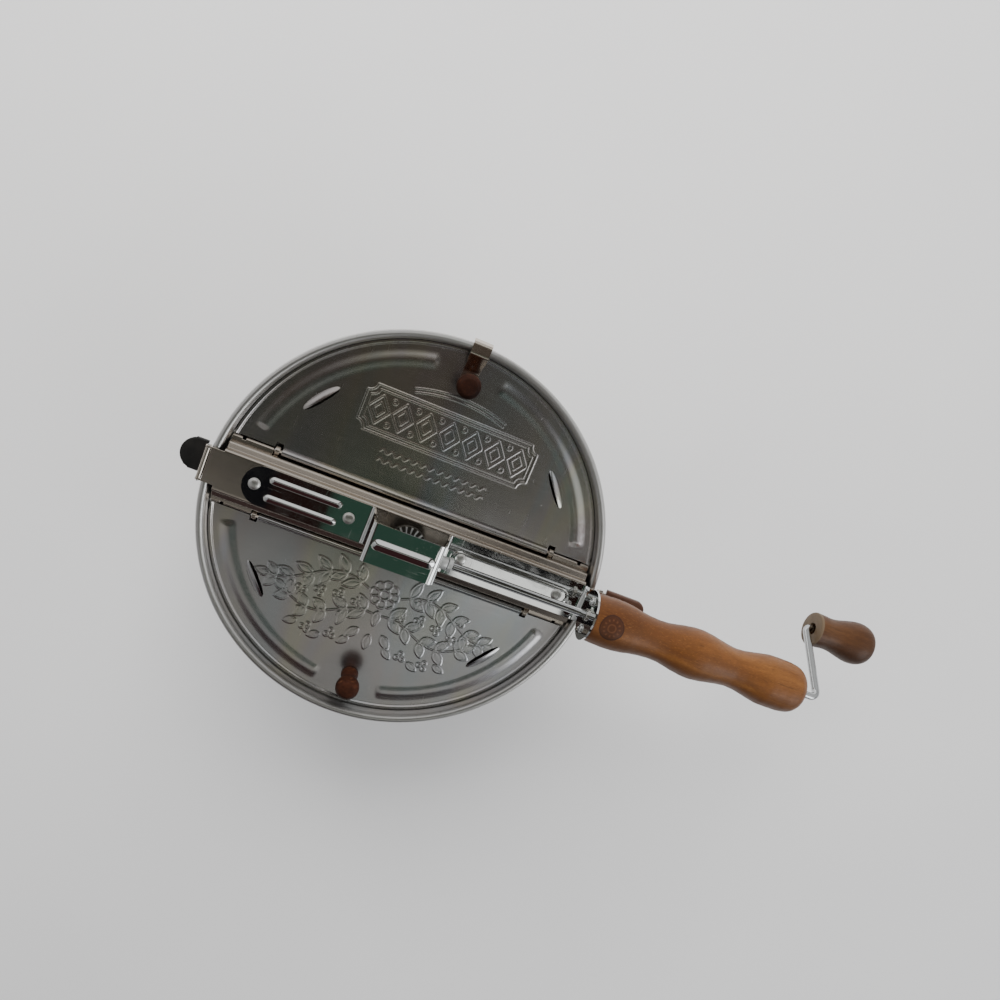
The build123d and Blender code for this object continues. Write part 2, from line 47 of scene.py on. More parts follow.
def new_object(name, verts, faces, mat, body, slot, replaces=(), sharp=38.0, uv=False):
    """Mesh object from millimetre vertices, riding on a CAD body."""
    me = bpy.data.meshes.new(name)
    me.from_pydata([tuple(float(c) * MM for c in v) for v in verts], [], [tuple(int(i) for i in f) for f in faces])
    me.validate()
    me.update()
    o = bpy.data.objects.new(name, me)
    COLL.objects.link(o)
    me.shade_smooth()
    if sharp is not None:
        me.set_sharp_from_angle(angle=math.radians(sharp))
    me.materials.append(mat)
    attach(o, body)
    if replaces:
        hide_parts(*replaces)
    return o


def bevel(o, width, segments=2, angle=40.0):
    m = o.modifiers.new("edge", "BEVEL")
    m.width = width * MM
    m.segments = segments
    m.limit_method = "ANGLE"
    m.angle_limit = math.radians(angle)
    m.harden_normals = False
    return m


def fillet_path(pts, radii, seg=7, step=None):
    """Planar or spatial polyline with its corners rounded; radii one per inner point."""
    pts = [np.array(p, float) for p in pts]
    out = [pts[0]]
    for i in range(1, len(pts) - 1):
        a, b, c = pts[i - 1], pts[i], pts[i + 1]
        u, v = (a - b) / np.linalg.norm(a - b), (c - b) / np.linalg.norm(c - b)
        r = radii[i - 1]
        ang = math.acos(max(-1, min(1, float(u @ v))))
        if r <= 0 or ang > math.pi - 1e-4:
            out.append(b)
            continue
        d = r / math.tan(ang / 2)
        mid = (u + v) / np.linalg.norm(u + v)
        cen = b + mid * (r / math.sin(ang / 2))
        p0, p1 = b + u * d, b + v * d
        e0, e1 = p0 - cen, p1 - cen
        tot = math.pi - ang
        w = e1 - e0 * (e0 @ e1) / (r * r)
        w = w / np.linalg.norm(w) * r
        for k in range(seg + 1):
            t = tot * k / seg
            out.append(cen + e0 * math.cos(t) + w * math.sin(t))
    out.append(pts[-1])
    if step:
        full = [out[0]]
        for a, b in zip(out[:-1], out[1:]):
            n = max(1, int(round(np.linalg.norm(b - a) / step)))
            for k in range(1, n + 1):
                full.append(a + (b - a) * k / n)
        out = full
    clean = [out[0]]
    for p in out[1:]:
        if np.linalg.norm(p - clean[-1]) > 1e-4:
            clean.append(p)
    return clean


def shell(verts, normals, faces, t):
    """Sheet of thickness t about a mid surface, closed with walls on its open edges."""
    V, N = np.asarray(verts, float), np.asarray(normals, float)
    n = len(V)
    out = np.concatenate([V + N * (t / 2), V - N * (t / 2)])
    fs = [tuple(f) for f in faces] + [tuple(i + n for i in f[::-1]) for f in faces]
    edges = {}
    for f in faces:
        for a, b in zip(f, f[1:] + f[:1]):
            edges[(a, b)] = edges.get((a, b), 0) + 1
    for (a, b) in edges:
        if (b, a) not in edges:
            fs.append((b, a, a + n, b + n))
    used = np.zeros(len(out), bool)
    for f in fs:
        used[list(f)] = True
    remap = np.cumsum(used) - 1
    return out[used], [tuple(int(remap[i]) for i in f) for f in fs]


def sheet_along(path, stations, to3d, t, keep=None, lift=None, width=None):
    """Bent sheet: path is its cross-section's mid line as 2-D points, stations the places along the other axis.
    to3d(a, b, s) places a point; keep(a, b, s, i) drops faces; width(i) scales stations; lift(a, b, s) embosses."""
    P = np.array(path, float)
    T = np.zeros_like(P)
    T[1:-1] = P[2:] - P[:-2]
    T[0], T[-1] = P[1] - P[0], P[-1] - P[-2]
    T /= np.linalg.norm(T, axis=1)[:, None]
    Nn = np.stack([-T[:, 1], T[:, 0]], 1)
    verts, norms, idx = [], [], {}
    for i, (p, nn) in enumerate(zip(P, Nn)):
        w = 1.0 if width is None else width(i, p)
        for j, s in enumerate(stations):
            sv = s * w
            h = 0.0 if lift is None else lift(p[0], p[1], sv, i)
            q = p + nn * h
            idx[(i, j)] = len(verts)
            verts.append(to3d(q[0], q[1], sv))
            a = np.array(to3d(nn[0], nn[1], 0.0)) - np.array(to3d(0.0, 0.0, 0.0))
            norms.append(a)
    if lift is not None:
        V = np.array(verts).reshape(len(P), len(stations), 3)
        du = np.gradient(V, axis=0)
        dv = np.gradient(V, axis=1)
        nn = np.cross(du, dv)
        nn /= np.maximum(np.linalg.norm(nn, axis=2, keepdims=True), 1e-12)
        ref = np.array(norms).reshape(nn.shape)
        sgn = np.sign((nn * ref).sum(2, keepdims=True))
        sgn[sgn == 0] = 1
        norms = (nn * sgn).reshape(-1, 3)
    faces = []
    for i in range(len(P) - 1):
        for j in range(len(stations) - 1):
            if keep is not None:
                w = 1.0 if width is None else 0.5 * (width(i, P[i]) + width(i + 1, P[i + 1]))
                s = 0.5 * (stations[j] + stations[j + 1]) * w
                c = 0.5 * (P[i] + P[i + 1])
                if not keep(c[0], c[1], s, i):
                    continue
            faces.append((idx[(i, j)], idx[(i + 1, j)], idx[(i + 1, j + 1)], idx[(i, j + 1)]))
    # orient faces to the normals
    f0 = faces[0]
    a, b, c = [np.array(verts[k]) for k in f0[:3]]
    if np.dot(np.cross(b - a, c - b), norms[f0[0]]) < 0:
        faces = [f[::-1] for f in faces]
    return shell(verts, norms, faces, t)


def lathe(profile, n=96, origin=(0, 0, 0), axis=(0, 0, 1), xref=None, warp=None):
    """Closed body of revolution from (r, s) points; s runs along axis from origin."""
    ax = Vector(axis).normalized()
    ref = Vector(xref) if xref else (Vector((1, 0, 0)) if abs(ax.x) < 0.9 else Vector((0, 1, 0)))
    e1 = (ref - ax * ref.dot(ax)).normalized()
    e2 = ax.cross(e1)
    o = Vector(origin)
    verts, faces, rows = [], [], []
    for r, s in profile:
        if r < 1e-6:
            rows.append([len(verts)])
            verts.append(tuple(o + ax * s))
        else:
            row = []
            for k in range(n):
                a = 2 * math.pi * k / n
                rr, ss = (r, s) if warp is None else warp(r, s, a)
                row.append(len(verts))
                verts.append(tuple(o + ax * ss + e1 * (rr * math.cos(a)) + e2 * (rr * math.sin(a))))
            rows.append(row)
    for r0, r1 in zip(rows[:-1], rows[1:]):
        for k in range(n):
            k1 = (k + 1) % n
            if len(r0) == 1 and len(r1) == 1:
                continue
            if len(r0) == 1:
                faces.append((r0[0], r1[k1], r1[k]))
            elif len(r1) == 1:
                faces.append((r0[k], r0[k1], r1[0]))
            else:
                faces.append((r0[k], r0[k1], r1[k1], r1[k]))
    return verts, faces


def closed_lathe(profile, **kw):
    """As lathe, for a ring whose profile closes on itself."""
    return lathe(list(profile) + [profile[0]], **kw)


def smooth_profile(pts, per=6):
    """Catmull-Rom through points."""
    P = [np.array(p, float) for p in pts]
    P = [2 * P[0] - P[1]] + P + [2 * P[-1] - P[-2]]
    out = []
    for i in range(1, len(P) - 2):
        for k in range(per):
            t = k / per
            a, b, c, d = P[i - 1], P[i], P[i + 1], P[i + 2]
            out.append(0.5 * ((2 * b) + (-a + c) * t + (2 * a - 5 * b + 4 * c - d) * t * t + (-a + 3 * b - 3 * c + d) * t ** 3))
    out.append(P[-2])
    return [tuple(p) for p in out]


def tube(path, r, n=20, caps=True, taper=0.0):
    """Round rod along 3-D points, ends slightly chamfered."""
    P = [Vector(p) for p in path]
    T = []
    for i in range(len(P)):
        a, b = P[max(0, i - 1)], P[min(len(P) - 1, i + 1)]
        T.append((b - a).normalized())
    up = Vector((0, 0, 1)) if abs(T[0].z) < 0.9 else Vector((0, 1, 0))
    e = (up - T[0] * up.dot(T[0])).normalized()
    rings, verts, faces = [], [], []

    def ring(p, t, e, rr):
        f = t.cross(e)
        row = []
        for k in range(n):
            a = 2 * math.pi * k / n
            row.append(len(verts))
            verts.append(tuple(p + e * (rr * math.cos(a)) + f * (rr * math.sin(a))))
        return row

    for i, (p, t) in enumerate(zip(P, T)):
        e = (e - t * e.dot(t)).normalized()
        if i == 0 and caps:
            rings.append(ring(p, t, e, r * 0.8))
            rings.append(ring(p + t * r * 0.2, t, e, r))
        elif i == len(P) - 1 and caps:
            rings.append(ring(p - t * r * 0.2, t, e, r))
            rings.append(ring(p, t, e, r * 0.8))
        else:
            rings.append(ring(p, t, e, r))
    for a, b in zip(rings[:-1], rings[1:]):
        for k in range(n):
            k1 = (k + 1) % n
            faces.append((a[k], a[k1], b[k1], b[k]))
    if caps:
        faces.append(tuple(rings[0][::-1]))
        faces.append(tuple(rings[-1]))
    return verts, faces


def merge(*parts):
    V, F = [], []
    for v, f in parts:
        k = len(V)
        V += [tuple(p) for p in v]
        F += [tuple(i + k for i in g) for g in f]
    return V, F


def prism(outline, plane, d0, d1):
    """Closed prism from a 2-D outline; plane(a, b, d) places a point."""
    n = len(outline)
    V = [plane(a, b, d0) for a, b in outline] + [plane(a, b, d1) for a, b in outline]
    F = [tuple(range(n))[::-1], tuple(range(n, 2 * n))]
    F += [(i, (i + 1) % n, (i + 1) % n + n, i + n) for i in range(n)]
    return V, F


def fix_normals(o):
    bm = bmesh.new()
    bm.from_mesh(o.data)
    bmesh.ops.recalc_face_normals(bm, faces=bm.faces)
    bm.to_mesh(o.data)
    bm.free()
    return o


def sstep(a, b, x):
    t = np.clip((np.asarray(x, float) - a) / (b - a), 0, 1)
    return t * t * (3 - 2 * t)


# -------------------------------------------------------------- materials --


class Mat:
    """Small node builder."""

    def __init__(self, name):
        self.m = bpy.data.materials.new(name)
        self.m.use_nodes = True
        self.t = self.m.node_tree
        self.b = self.t.nodes["Principled BSDF"]
        self.tc = self.t.nodes.new("ShaderNodeTexCoord")

    def link(self, a, b):
        self.t.links.new(a, b)

    def coords(self, scale=(1, 1, 1), rot=(0, 0, 0), loc=(0, 0, 0)):
        n = self.t.nodes.new("ShaderNodeMapping")
        n.inputs["Scale"].default_value = scale
        n.inputs["Rotation"].default_value = rot
        n.inputs["Location"].default_value = loc
        self.link(self.tc.outputs["Object"], n.inputs["Vector"])
        return n.outputs["Vector"]

    def noise(self, vec, scale, detail=4.0, rough=0.55, dist=0.0):
        n = self.t.nodes.new("ShaderNodeTexNoise")
        n.inputs["Scale"].default_value = scale
        n.inputs["Detail"].default_value = detail
        n.inputs["Roughness"].default_value = rough
        n.inputs["Distortion"].default_value = dist
        self.link(vec, n.inputs["Vector"])
        return n.outputs["Fac"]

    def voronoi(self, vec, scale, feature="F1"):
        n = self.t.nodes.new("ShaderNodeTexVoronoi")
        n.feature = feature
        n.inputs["Scale"].default_value = scale
        self.link(vec, n.inputs["Vector"])
        return n.outputs["Distance"]

    def ramp(self, fac, stops, interp="LINEAR"):
        n = self.t.nodes.new("ShaderNodeValToRGB")
        n.color_ramp.interpolation = interp
        els = n.color_ramp.elements
        while len(els) < len(stops):
            els.new(0.5)
        for e, (p, c) in zip(els, stops):
            e.position = p
            e.color = (c[0], c[1], c[2], 1) if hasattr(c, "__len__") else (c, c, c, 1)
        self.link(fac, n.inputs["Fac"])
        return n.outputs["Color"]

    def rng(self, v, a0, a1, b0, b1, clamp=True):
        n = self.t.nodes.new("ShaderNodeMapRange")
        n.clamp = clamp
        for k, val in zip(("From Min", "From Max", "To Min", "To Max"), (a0, a1, b0, b1)):
            n.inputs[k].default_value = val
        self.link(v, n.inputs["Value"])
        return n.outputs["Result"]

    def math(self, op, a, b=None, c=None):
        n = self.t.nodes.new("ShaderNodeMath")
        n.operation = op
        for k, v in enumerate((a, b, c)):
            if v is None:
                continue
            if isinstance(v, (int, float)):
                n.inputs[k].default_value = v
            else:
                self.link(v, n.inputs[k])
        return n.outputs["Value"]

    def mix(self, fac, a, b, blend="MIX"):
        n = self.t.nodes.new("ShaderNodeMix")
        n.data_type = "RGBA"
        n.blend_type = blend
        if isinstance(fac, (int, float)):
            n.inputs[0].default_value = fac
        else:
            self.link(fac, n.inputs[0])
        for k, v in ((6, a), (7, b)):
            if hasattr(v, "is_linked") or hasattr(v, "links"):
                self.link(v, n.inputs[k])
            else:
                n.inputs[k].default_value = (*v, 1) if len(v) == 3 else v
        return n.outputs[2]

    def sep(self, vec=None):
        n = self.t.nodes.new("ShaderNodeSeparateXYZ")
        self.link(vec if vec is not None else self.tc.outputs["Object"], n.inputs[0])
        return n.outputs["X"], n.outputs["Y"], n.outputs["Z"]

    def combine(self, x, y, z):
        n = self.t.nodes.new("ShaderNodeCombineXYZ")
        for k, v in enumerate((x, y, z)):
            if isinstance(v, (int, float)):
                n.inputs[k].default_value = v
            else:
                self.link(v, n.inputs[k])
        return n.outputs["Vector"]

    def bump(self, height, strength, dist, normal=None):
        n = self.t.nodes.new("ShaderNodeBump")
        n.inputs["Strength"].default_value = strength
        n.inputs["Distance"].default_value = dist * MM
        self.link(height, n.inputs["Height"])
        if normal is not None:
            self.link(normal, n.inputs["Normal"])
        self.link(n.outputs["Normal"], self.b.inputs["Normal"])
        return n.outputs["Normal"]

    def set(self, **kw):
        names = {"color": "Base Color", "metallic": "Metallic", "rough": "Roughness", "ior": "IOR", "coat": "Coat Weight",
                 "coat_rough": "Coat Roughness", "aniso": "Anisotropic", "aniso_rot": "Anisotropic Rotation", "spec": "Specular IOR Level",
                 "sheen": "Sheen Weight"}
        for k, v in kw.items():
            s = self.b.inputs[names[k]]
            if isinstance(v, (int, float)):
                s.default_value = v
            elif isinstance(v, tuple):
                s.default_value = (*v, 1) if len(v) == 3 else v
            else:
                self.link(v, s)
        return self


def sheet_metal(name, tone, rough=(0.26, 0.42), grain=(1, 1, 1), grain_scale=600, tint=0.05, bump=0.25, stain=None, smudge=1.0, spin=None):
    """Rolled or spun sheet: directional grain, soft cloudy tone, fine handling marks."""
    M = Mat(name)
    g = M.coords(scale=grain)
    if spin is not None:
        x, y, z = M.sep()
        r = M.math("SQRT", M.math("ADD", M.math("MULTIPLY", x, x), M.math("MULTIPLY", y, y)))
        ang = M.math("ARCTAN2", y, x)
        g = M.combine(M.math("MULTIPLY", ang, spin), M.math("MULTIPLY", r, 1.0), M.math("MULTIPLY", z, 1.0))
    fine = M.noise(g, grain_scale, 5.0, 0.7)
    cloud = M.noise(M.coords(loc=(3, 1, 7)), 16.0, 4.0, 0.6, 0.6)
    marks = M.noise(M.coords(loc=(1, 9, 2)), 70.0, 6.0, 0.65, 1.5)
    scratch = M.noise(M.coords(scale=(1.0, 0.06, 1.0), rot=(0, 0, 0.6)), 900.0, 3.0, 0.5)
    a = tuple(c * (1 - tint * 2.2) for c in tone)
    b = tuple(min(1, c * (1 + tint)) for c in tone)
    col = M.ramp(cloud, [(0.25, a), (0.5, tone), (0.78, b)])
    warm = M.rng(M.noise(M.coords(loc=(5, 5, 5)), 9.0, 3.0, 0.5, 1.0), 0.45, 0.75, 0.0, 0.35)
    col = M.mix(warm, col, (tone[0] * 1.02, tone[1] * 0.94, tone[2] * 0.84))
    col = M.mix(M.rng(fine, 0.35, 0.70, 0.0, 0.05), col, (tone[0] * 0.6, tone[1] * 0.6, tone[2] * 0.6))
    if stain is not None:
        col = stain(M, col)
    rr = M.math("ADD", M.rng(fine, 0.25, 0.75, rough[0], rough[1]), M.rng(marks, 0.5, 0.78, 0.0, 0.05 * smudge))
    rr = M.math("ADD", rr, M.rng(scratch, 0.70, 0.76, 0.0, 0.06))
    M.set(color=col, metallic=1.0, rough=rr)
    h = M.math("ADD", fine, M.math("MULTIPLY", M.rng(scratch, 0.68, 0.74, 0.0, -1.0), 0.5))
    M.bump(h, bump, 0.03)
    return M.m


def wood(name, dark, mid, light, axis=0, ring=60.0, mark=None, endgrain=None, gloss=0.38, coat=0.25, spec=0.35):
    """Turned, lacquered hardwood with long grain, pores and faint rings."""
    M = Mat(name)
    s = [9.0, 9.0, 9.0]
    s[axis] = 0.9
    v = M.coords(scale=tuple(s))
    v2 = M.coords(scale=tuple(x * 1.0 for x in s), loc=(0.3, 0.1, 0.2))
    broad = M.noise(v, 4.2, 3.0, 0.55, 0.8)
    streak = M.noise(v2, 26.0, 6.0, 0.62, 0.3)
    s3 = [1.0, 1.0, 1.0]
    s3[axis] = 0.035
    pores = M.noise(M.coords(scale=tuple(s3)), 2300.0, 2.0, 0.5)
    speck = M.noise(M.coords(scale=tuple(max(c, 0.25) for c in s3), loc=(0.7, 0.2, 0.4)), 1700.0, 3.0, 0.6)
    wob = M.noise(M.coords(scale=(1, 1, 1)), 14.0, 2.0, 0.5)
    x, y, z = M.sep()
    pair = [(y, z), (x, z), (x, y)][axis]
    rr = M.math("SQRT", M.math("ADD", M.math("MULTIPLY", M.math("ADD", pair[0], 0.021), M.math("ADD", pair[0], 0.021)),
                               M.math("MULTIPLY", M.math("SUBTRACT", pair[1], 0.12), M.math("SUBTRACT", pair[1], 0.12))))
    rings = M.math("SINE", M.math("ADD", M.math("MULTIPLY", rr, 1900.0), M.math("MULTIPLY", wob, 16.0)))
    base = M.ramp(broad, [(0.28, dark), (0.5, mid), (0.74, light)])
    base = M.mix(M.rng(streak, 0.4, 0.68, 0.0, 0.55), base, tuple(c * 0.62 for c in mid))
    base = M.mix(M.rng(rings, 0.2, 1.0, 0.0, 0.16), base, tuple(c * 0.55 for c in mid))
    base = M.mix(M.rng(pores, 0.60, 0.72, 0.0, 0.45), base, tuple(c * 0.35 for c in dark))
    base = M.mix(M.rng(speck, 0.54, 0.68, 0.0, 0.30), base, tuple(c * 0.50 for c in mid))
    base = M.mix(M.rng(speck, 0.44, 0.32, 0.0, 0.22), base, tuple(min(1.0, c * 1.25) for c in light))
    if mark is not None:
        base = mark(M, base)
    if endgrain is not None:
        base = endgrain(M, base)
    hgt = M.math("ADD", M.math("MULTIPLY", streak, 0.5), M.rng(pores, 0.58, 0.70, 0.0, -1.2))
    M.set(color=base, rough=M.rng(streak, 0.3, 0.7, gloss - 0.05, gloss + 0.12), ior=1.5, coat=coat, coat_rough=0.22, spec=spec)
    M.bump(hgt, 0.35, 0.06)
    return M.m


def lid_stain(M, col):
    # heat and cooking stains near one end of the lid, as a soft brown streak
    x, y, z = M.sep()
    dx = M.math("MULTIPLY", M.math("SUBTRACT", x, 0.1045), 95.0)
    dy = M.math("MULTIPLY", M.math("SUBTRACT", y, 0.036), 42.0)
    d = M.math("SQRT", M.math("ADD", M.math("MULTIPLY", dx, dx), M.math("MULTIPLY", dy, dy)))
    n = M.noise(M.coords(), 260.0, 5.0, 0.7, 0.5)
    f = M.math("MULTIPLY", M.rng(d, 0.25, 1.1, 1.0, 0.0), M.rng(n, 0.42, 0.62, 0.0, 0.75))
    col = M.mix(f, col, (0.16, 0.09, 0.05))
    # faint heat tint, straw to violet, in soft patches
    t = M.noise(M.coords(loc=(2, 4, 1)), 11.0, 2.0, 0.5, 0.8)
    col = M.mix(M.rng(t, 0.50, 0.70, 0.0, 0.45), col, (0.62, 0.52, 0.50))
    col = M.mix(M.rng(t, 0.46, 0.28, 0.0, 0.40), col, (0.44, 0.52, 0.50))
    u = M.noise(M.coords(scale=(1.6, 0.35, 1.0), rot=(0, 0, 0.35), loc=(7, 3, 1)), 13.0, 2.0, 0.5, 0.6)
    film = M.ramp(u, [(0.30, (0.47, 0.50, 0.47)), (0.42, (0.56, 0.53, 0.42)), (0.52, (0.50, 0.46, 0.47)), (0.62, (0.45, 0.48, 0.53)), (0.74, (0.54, 0.53, 0.44))])
    return M.mix(0.55, col, film)


def burn_mark(M, base):
    # round burnt disc on the handle, plain but for two rings and a ring of dots
    x, y, z = M.sep()
    dx = M.math("SUBTRACT", x, 0.1322)
    dy = M.math("SUBTRACT", y, 0.0016)
    r = M.math("SQRT", M.math("ADD", M.math("MULTIPLY", dx, dx), M.math("MULTIPLY", dy, dy)))
    top = M.rng(z, 0.170, 0.172, 0.0, 1.0)
    ang = M.math("ARCTAN2", dy, dx)
    edge = M.noise(M.coords(), 900.0, 3.0, 0.6)
    r2 = M.math("ADD", r, M.math("MULTIPLY", M.math("SUBTRACT", edge, 0.5), 0.0006))
    disc = M.math("MULTIPLY", M.rng(r2, 0.0077, 0.0082, 1.0, 0.0), top)
    base = M.mix(M.math("MULTIPLY", disc, 0.80), base, (0.034, 0.011, 0.005))
    ring = M.math("MULTIPLY", M.rng(M.math("ABSOLUTE", M.math("SUBTRACT", r2, 0.0075)), 0.0, 0.0005, 1.0, 0.0), top)
    base = M.mix(M.math("MULTIPLY", ring, 0.8), base, (0.02, 0.008, 0.005))
    dots = M.math("MULTIPLY", M.rng(M.math("SINE", M.math("MULTIPLY", ang, 12.0)), 0.1, 0.5, 0.0, 1.0),
                  M.rng(M.math("ABSOLUTE", M.math("SUBTRACT", r2, 0.0050)), 0.0004, 0.0009, 1.0, 0.0))
    inner = M.rng(M.math("ABSOLUTE", M.math("SUBTRACT", r2, 0.0024)), 0.0002, 0.0006, 1.0, 0.0)
    pat = M.math("MULTIPLY", M.math("MAXIMUM", dots, inner), top)
    return M.mix(M.math("MULTIPLY", pat, 0.55), base, (0.11, 0.042, 0.018))


def dark_band(M, base):
    base = burn_mark(M, base)
    x, y, z = M.sep()
    band = M.math("MULTIPLY", M.rng(x, 0.1207, 0.1222, 0.75, 0.0), 1.0)
    base = M.mix(band, base, (0.06, 0.022, 0.012))
    end = M.rng(x, 0.2715, 0.2732, 0.0, 0.55)
    return M.mix(end, base, (0.20, 0.09, 0.04))


def grip_end(M, base):
    # duller olive-brown end face, near the rod
    x, y, z = M.sep()
    f = M.rng(x, 0.2905, 0.2912, 0.85, 0.0)
    return M.mix(f, base, (0.120, 0.088, 0.056))


def knob_flecks_and_rim_highlight(M, base):
    # worn stain and painted highlight: lighter brown flecks, more of them on the sides up to the top edge than on the
    # top face, painting the brown highlight round the knob's rim
    n = M.noise(M.coords(loc=(2, 2, 2)), 480.0, 5.0, 0.7, 0.4)
    x, y, z = M.sep()
    # painted highlight: flecks in full on the sides, few on the top face
    side = M.rng(z, 0.1575, 0.1560, 0.15, 1.0)
    f = M.math("MULTIPLY", M.rng(n, 0.56, 0.68, 0.0, 0.75), side)
    return M.mix(f, base, (0.105, 0.042, 0.020))


MATS = {}
MATS["lid"] = sheet_metal("lid_aluminium", (0.47, 0.475, 0.455), rough=(0.20, 0.25), grain=(0.05, 1, 1), grain_scale=700, tint=0.05, bump=0.016, stain=lid_stain, smudge=0.6)


def pan_metal():
    M = Mat("pan_aluminium")
    x, y, z = M.sep()
    r = M.math("SQRT", M.math("ADD", M.math("MULTIPLY", x, x), M.math("MULTIPLY", y, y)))
    ang = M.math("ARCTAN2", y, x)
    s_ = M.math("ADD", M.math("MULTIPLY", r, 0.9), z)
    lines = M.noise(M.combine(M.math("MULTIPLY", ang, 0.004), s_, M.math("MULTIPLY", s_, 0.3)), 1500.0, 4.0, 0.65)
    broad = M.noise(M.combine(M.math("MULTIPLY", ang, 0.010), s_, 0.0), 130.0, 3.0, 0.6)
    cloud = M.noise(M.coords(loc=(3, 1, 7)), 14.0, 4.0, 0.6, 0.7)
    spots = M.noise(M.coords(loc=(8, 1, 3)), 240.0, 4.0, 0.65, 0.8)
    scr = M.noise(M.coords(scale=(1.0, 1.0, 0.05), rot=(0.5, 0.3, 0.2)), 700.0, 3.0, 0.5)
    col = M.ramp(cloud, [(0.28, (0.53, 0.524, 0.509)), (0.5, (0.60, 0.594, 0.578)), (0.75, (0.655, 0.65, 0.635))])
    col = M.mix(M.rng(lines, 0.40, 0.62, 0.0, 0.20), col, (0.41, 0.402, 0.388))
    col = M.mix(M.rng(broad, 0.50, 0.72, 0.0, 0.22), col, (0.69, 0.685, 0.67))
    col = M.mix(M.rng(spots, 0.60, 0.70, 0.0, 0.30), col, (0.43, 0.40, 0.352))
    # straw to brown heat tint low down on the wall and under the base
    low = M.math("MULTIPLY", M.rng(z, 0.0, 0.030, 1.0, 0.0), M.rng(cloud, 0.25, 0.7, 0.35, 1.0))
    col = M.mix(M.math("MULTIPLY", low, 0.55), col, (0.37, 0.28, 0.185))
    rr = M.math("ADD", M.rng(lines, 0.3, 0.7, 0.30, 0.40), M.rng(spots, 0.55, 0.72, 0.0, 0.08))
    rr = M.math("ADD", rr, M.rng(scr, 0.70, 0.76, 0.0, 0.10))
    M.set(color=col, metallic=1.0, rough=rr)
    h = M.math("ADD", M.math("ADD", lines, M.math("MULTIPLY", broad, 1.5)), M.rng(scr, 0.69, 0.75, 0.0, -0.8))
    M.bump(h, 0.16, 0.04)
    return M.m


MATS["pan"] = pan_metal()
MATS["bar"] = sheet_metal("tinned_steel", (0.56, 0.505, 0.445), rough=(0.20, 0.26), grain=(0.04, 1, 1), grain_scale=700, tint=0.05, bump=0.05, smudge=0.7)
MATS["clip"] = sheet_metal("clip_steel", (0.64, 0.58, 0.51), rough=(0.14, 0.20), grain=(1, 0.05, 1), grain_scale=900, tint=0.06, bump=0.2)


def polished(name, tone, rough=0.045, bump=0.05):
    M = Mat(name)
    marks = M.noise(M.coords(loc=(4, 4, 4)), 55.0, 6.0, 0.62, 1.2)
    scr = M.noise(M.coords(scale=(0.05, 1.0, 1.0), rot=(0.1, 0.0, 0.35)), 1400.0, 2.0, 0.5)
    scr2 = M.noise(M.coords(scale=(1.0, 0.05, 1.0), rot=(0.0, 0.1, -0.5)), 1200.0, 2.0, 0.5)
    s = M.math("MAXIMUM", M.rng(scr, 0.69, 0.75, 0.0, 1.0), M.rng(scr2, 0.70, 0.76, 0.0, 1.0))
    col = M.mix(M.rng(marks, 0.50, 0.75, 0.0, 0.35), tone, tuple(c * 0.82 for c in tone))
    M.set(color=col, metallic=1.0, rough=M.math("ADD", M.rng(marks, 0.45, 0.75, rough, rough + 0.07), M.math("MULTIPLY", s, 0.16)))
    M.bump(M.math("MULTIPLY", s, -1.0), bump, 0.01)
    return M.m


MATS["chrome"] = polished("polished_steel", (0.80, 0.81, 0.80))
MATS["rod"] = polished("rod_steel", (0.52, 0.53, 0.535), rough=0.07, bump=0.06)
MATS["wire"] = sheet_metal("wire_steel", (0.62, 0.61, 0.59), rough=(0.16, 0.3), grain=(0.1, 1, 1), grain_scale=900, tint=0.06, bump=0.15)
MATS["rivet"] = sheet_metal("rivet_steel", (0.66, 0.655, 0.63), rough=(0.26, 0.40), grain_scale=500, tint=0.08, bump=0.5)


def cast_zinc():
    M = Mat("zinc")
    n = M.noise(M.coords(), 420.0, 6.0, 0.7)
    p = M.voronoi(M.coords(), 900.0)
    c = M.noise(M.coords(loc=(3, 3, 3)), 60.0, 4.0, 0.6, 0.6)
    col = M.ramp(c, [(0.3, (0.50, 0.51, 0.50)), (0.55, (0.66, 0.67, 0.66)), (0.8, (0.74, 0.75, 0.73))])
    col = M.mix(M.rng(n, 0.58, 0.70, 0.0, 0.5), col, (0.30, 0.30, 0.30))
    M.set(color=col, metallic=0.85, rough=M.rng(n, 0.3, 0.7, 0.36, 0.58))
    M.bump(M.math("ADD", n, M.math("MULTIPLY", p, 0.4)), 0.5, 0.05)
    return M.m


MATS["zinc"] = cast_zinc()


def gear_zinc():
    # darker below a set height, from the tooth gaps down: the zinc turns near black there
    m = cast_zinc()
    m.name = "zinc_gear"
    t = m.node_tree
    b = t.nodes["Principled BSDF"]
    src = b.inputs["Base Color"].links[0].from_socket
    tc_ = t.nodes.new("ShaderNodeTexCoord")
    sx = t.nodes.new("ShaderNodeSeparateXYZ")
    t.links.new(tc_.outputs["Object"], sx.inputs[0])
    mr = t.nodes.new("ShaderNodeMapRange")
    mr.inputs["From Min"].default_value = 0.1590
    mr.inputs["From Max"].default_value = 0.1606
    t.links.new(sx.outputs["Z"], mr.inputs["Value"])
    mxn = t.nodes.new("ShaderNodeMix")
    mxn.data_type = "RGBA"
    mxn.inputs[6].default_value = (0.055, 0.052, 0.045, 1)
    t.links.new(mr.outputs["Result"], mxn.inputs[0])
    t.links.new(src, mxn.inputs[7])
    t.links.new(mxn.outputs[2], b.inputs["Base Color"])
    return m


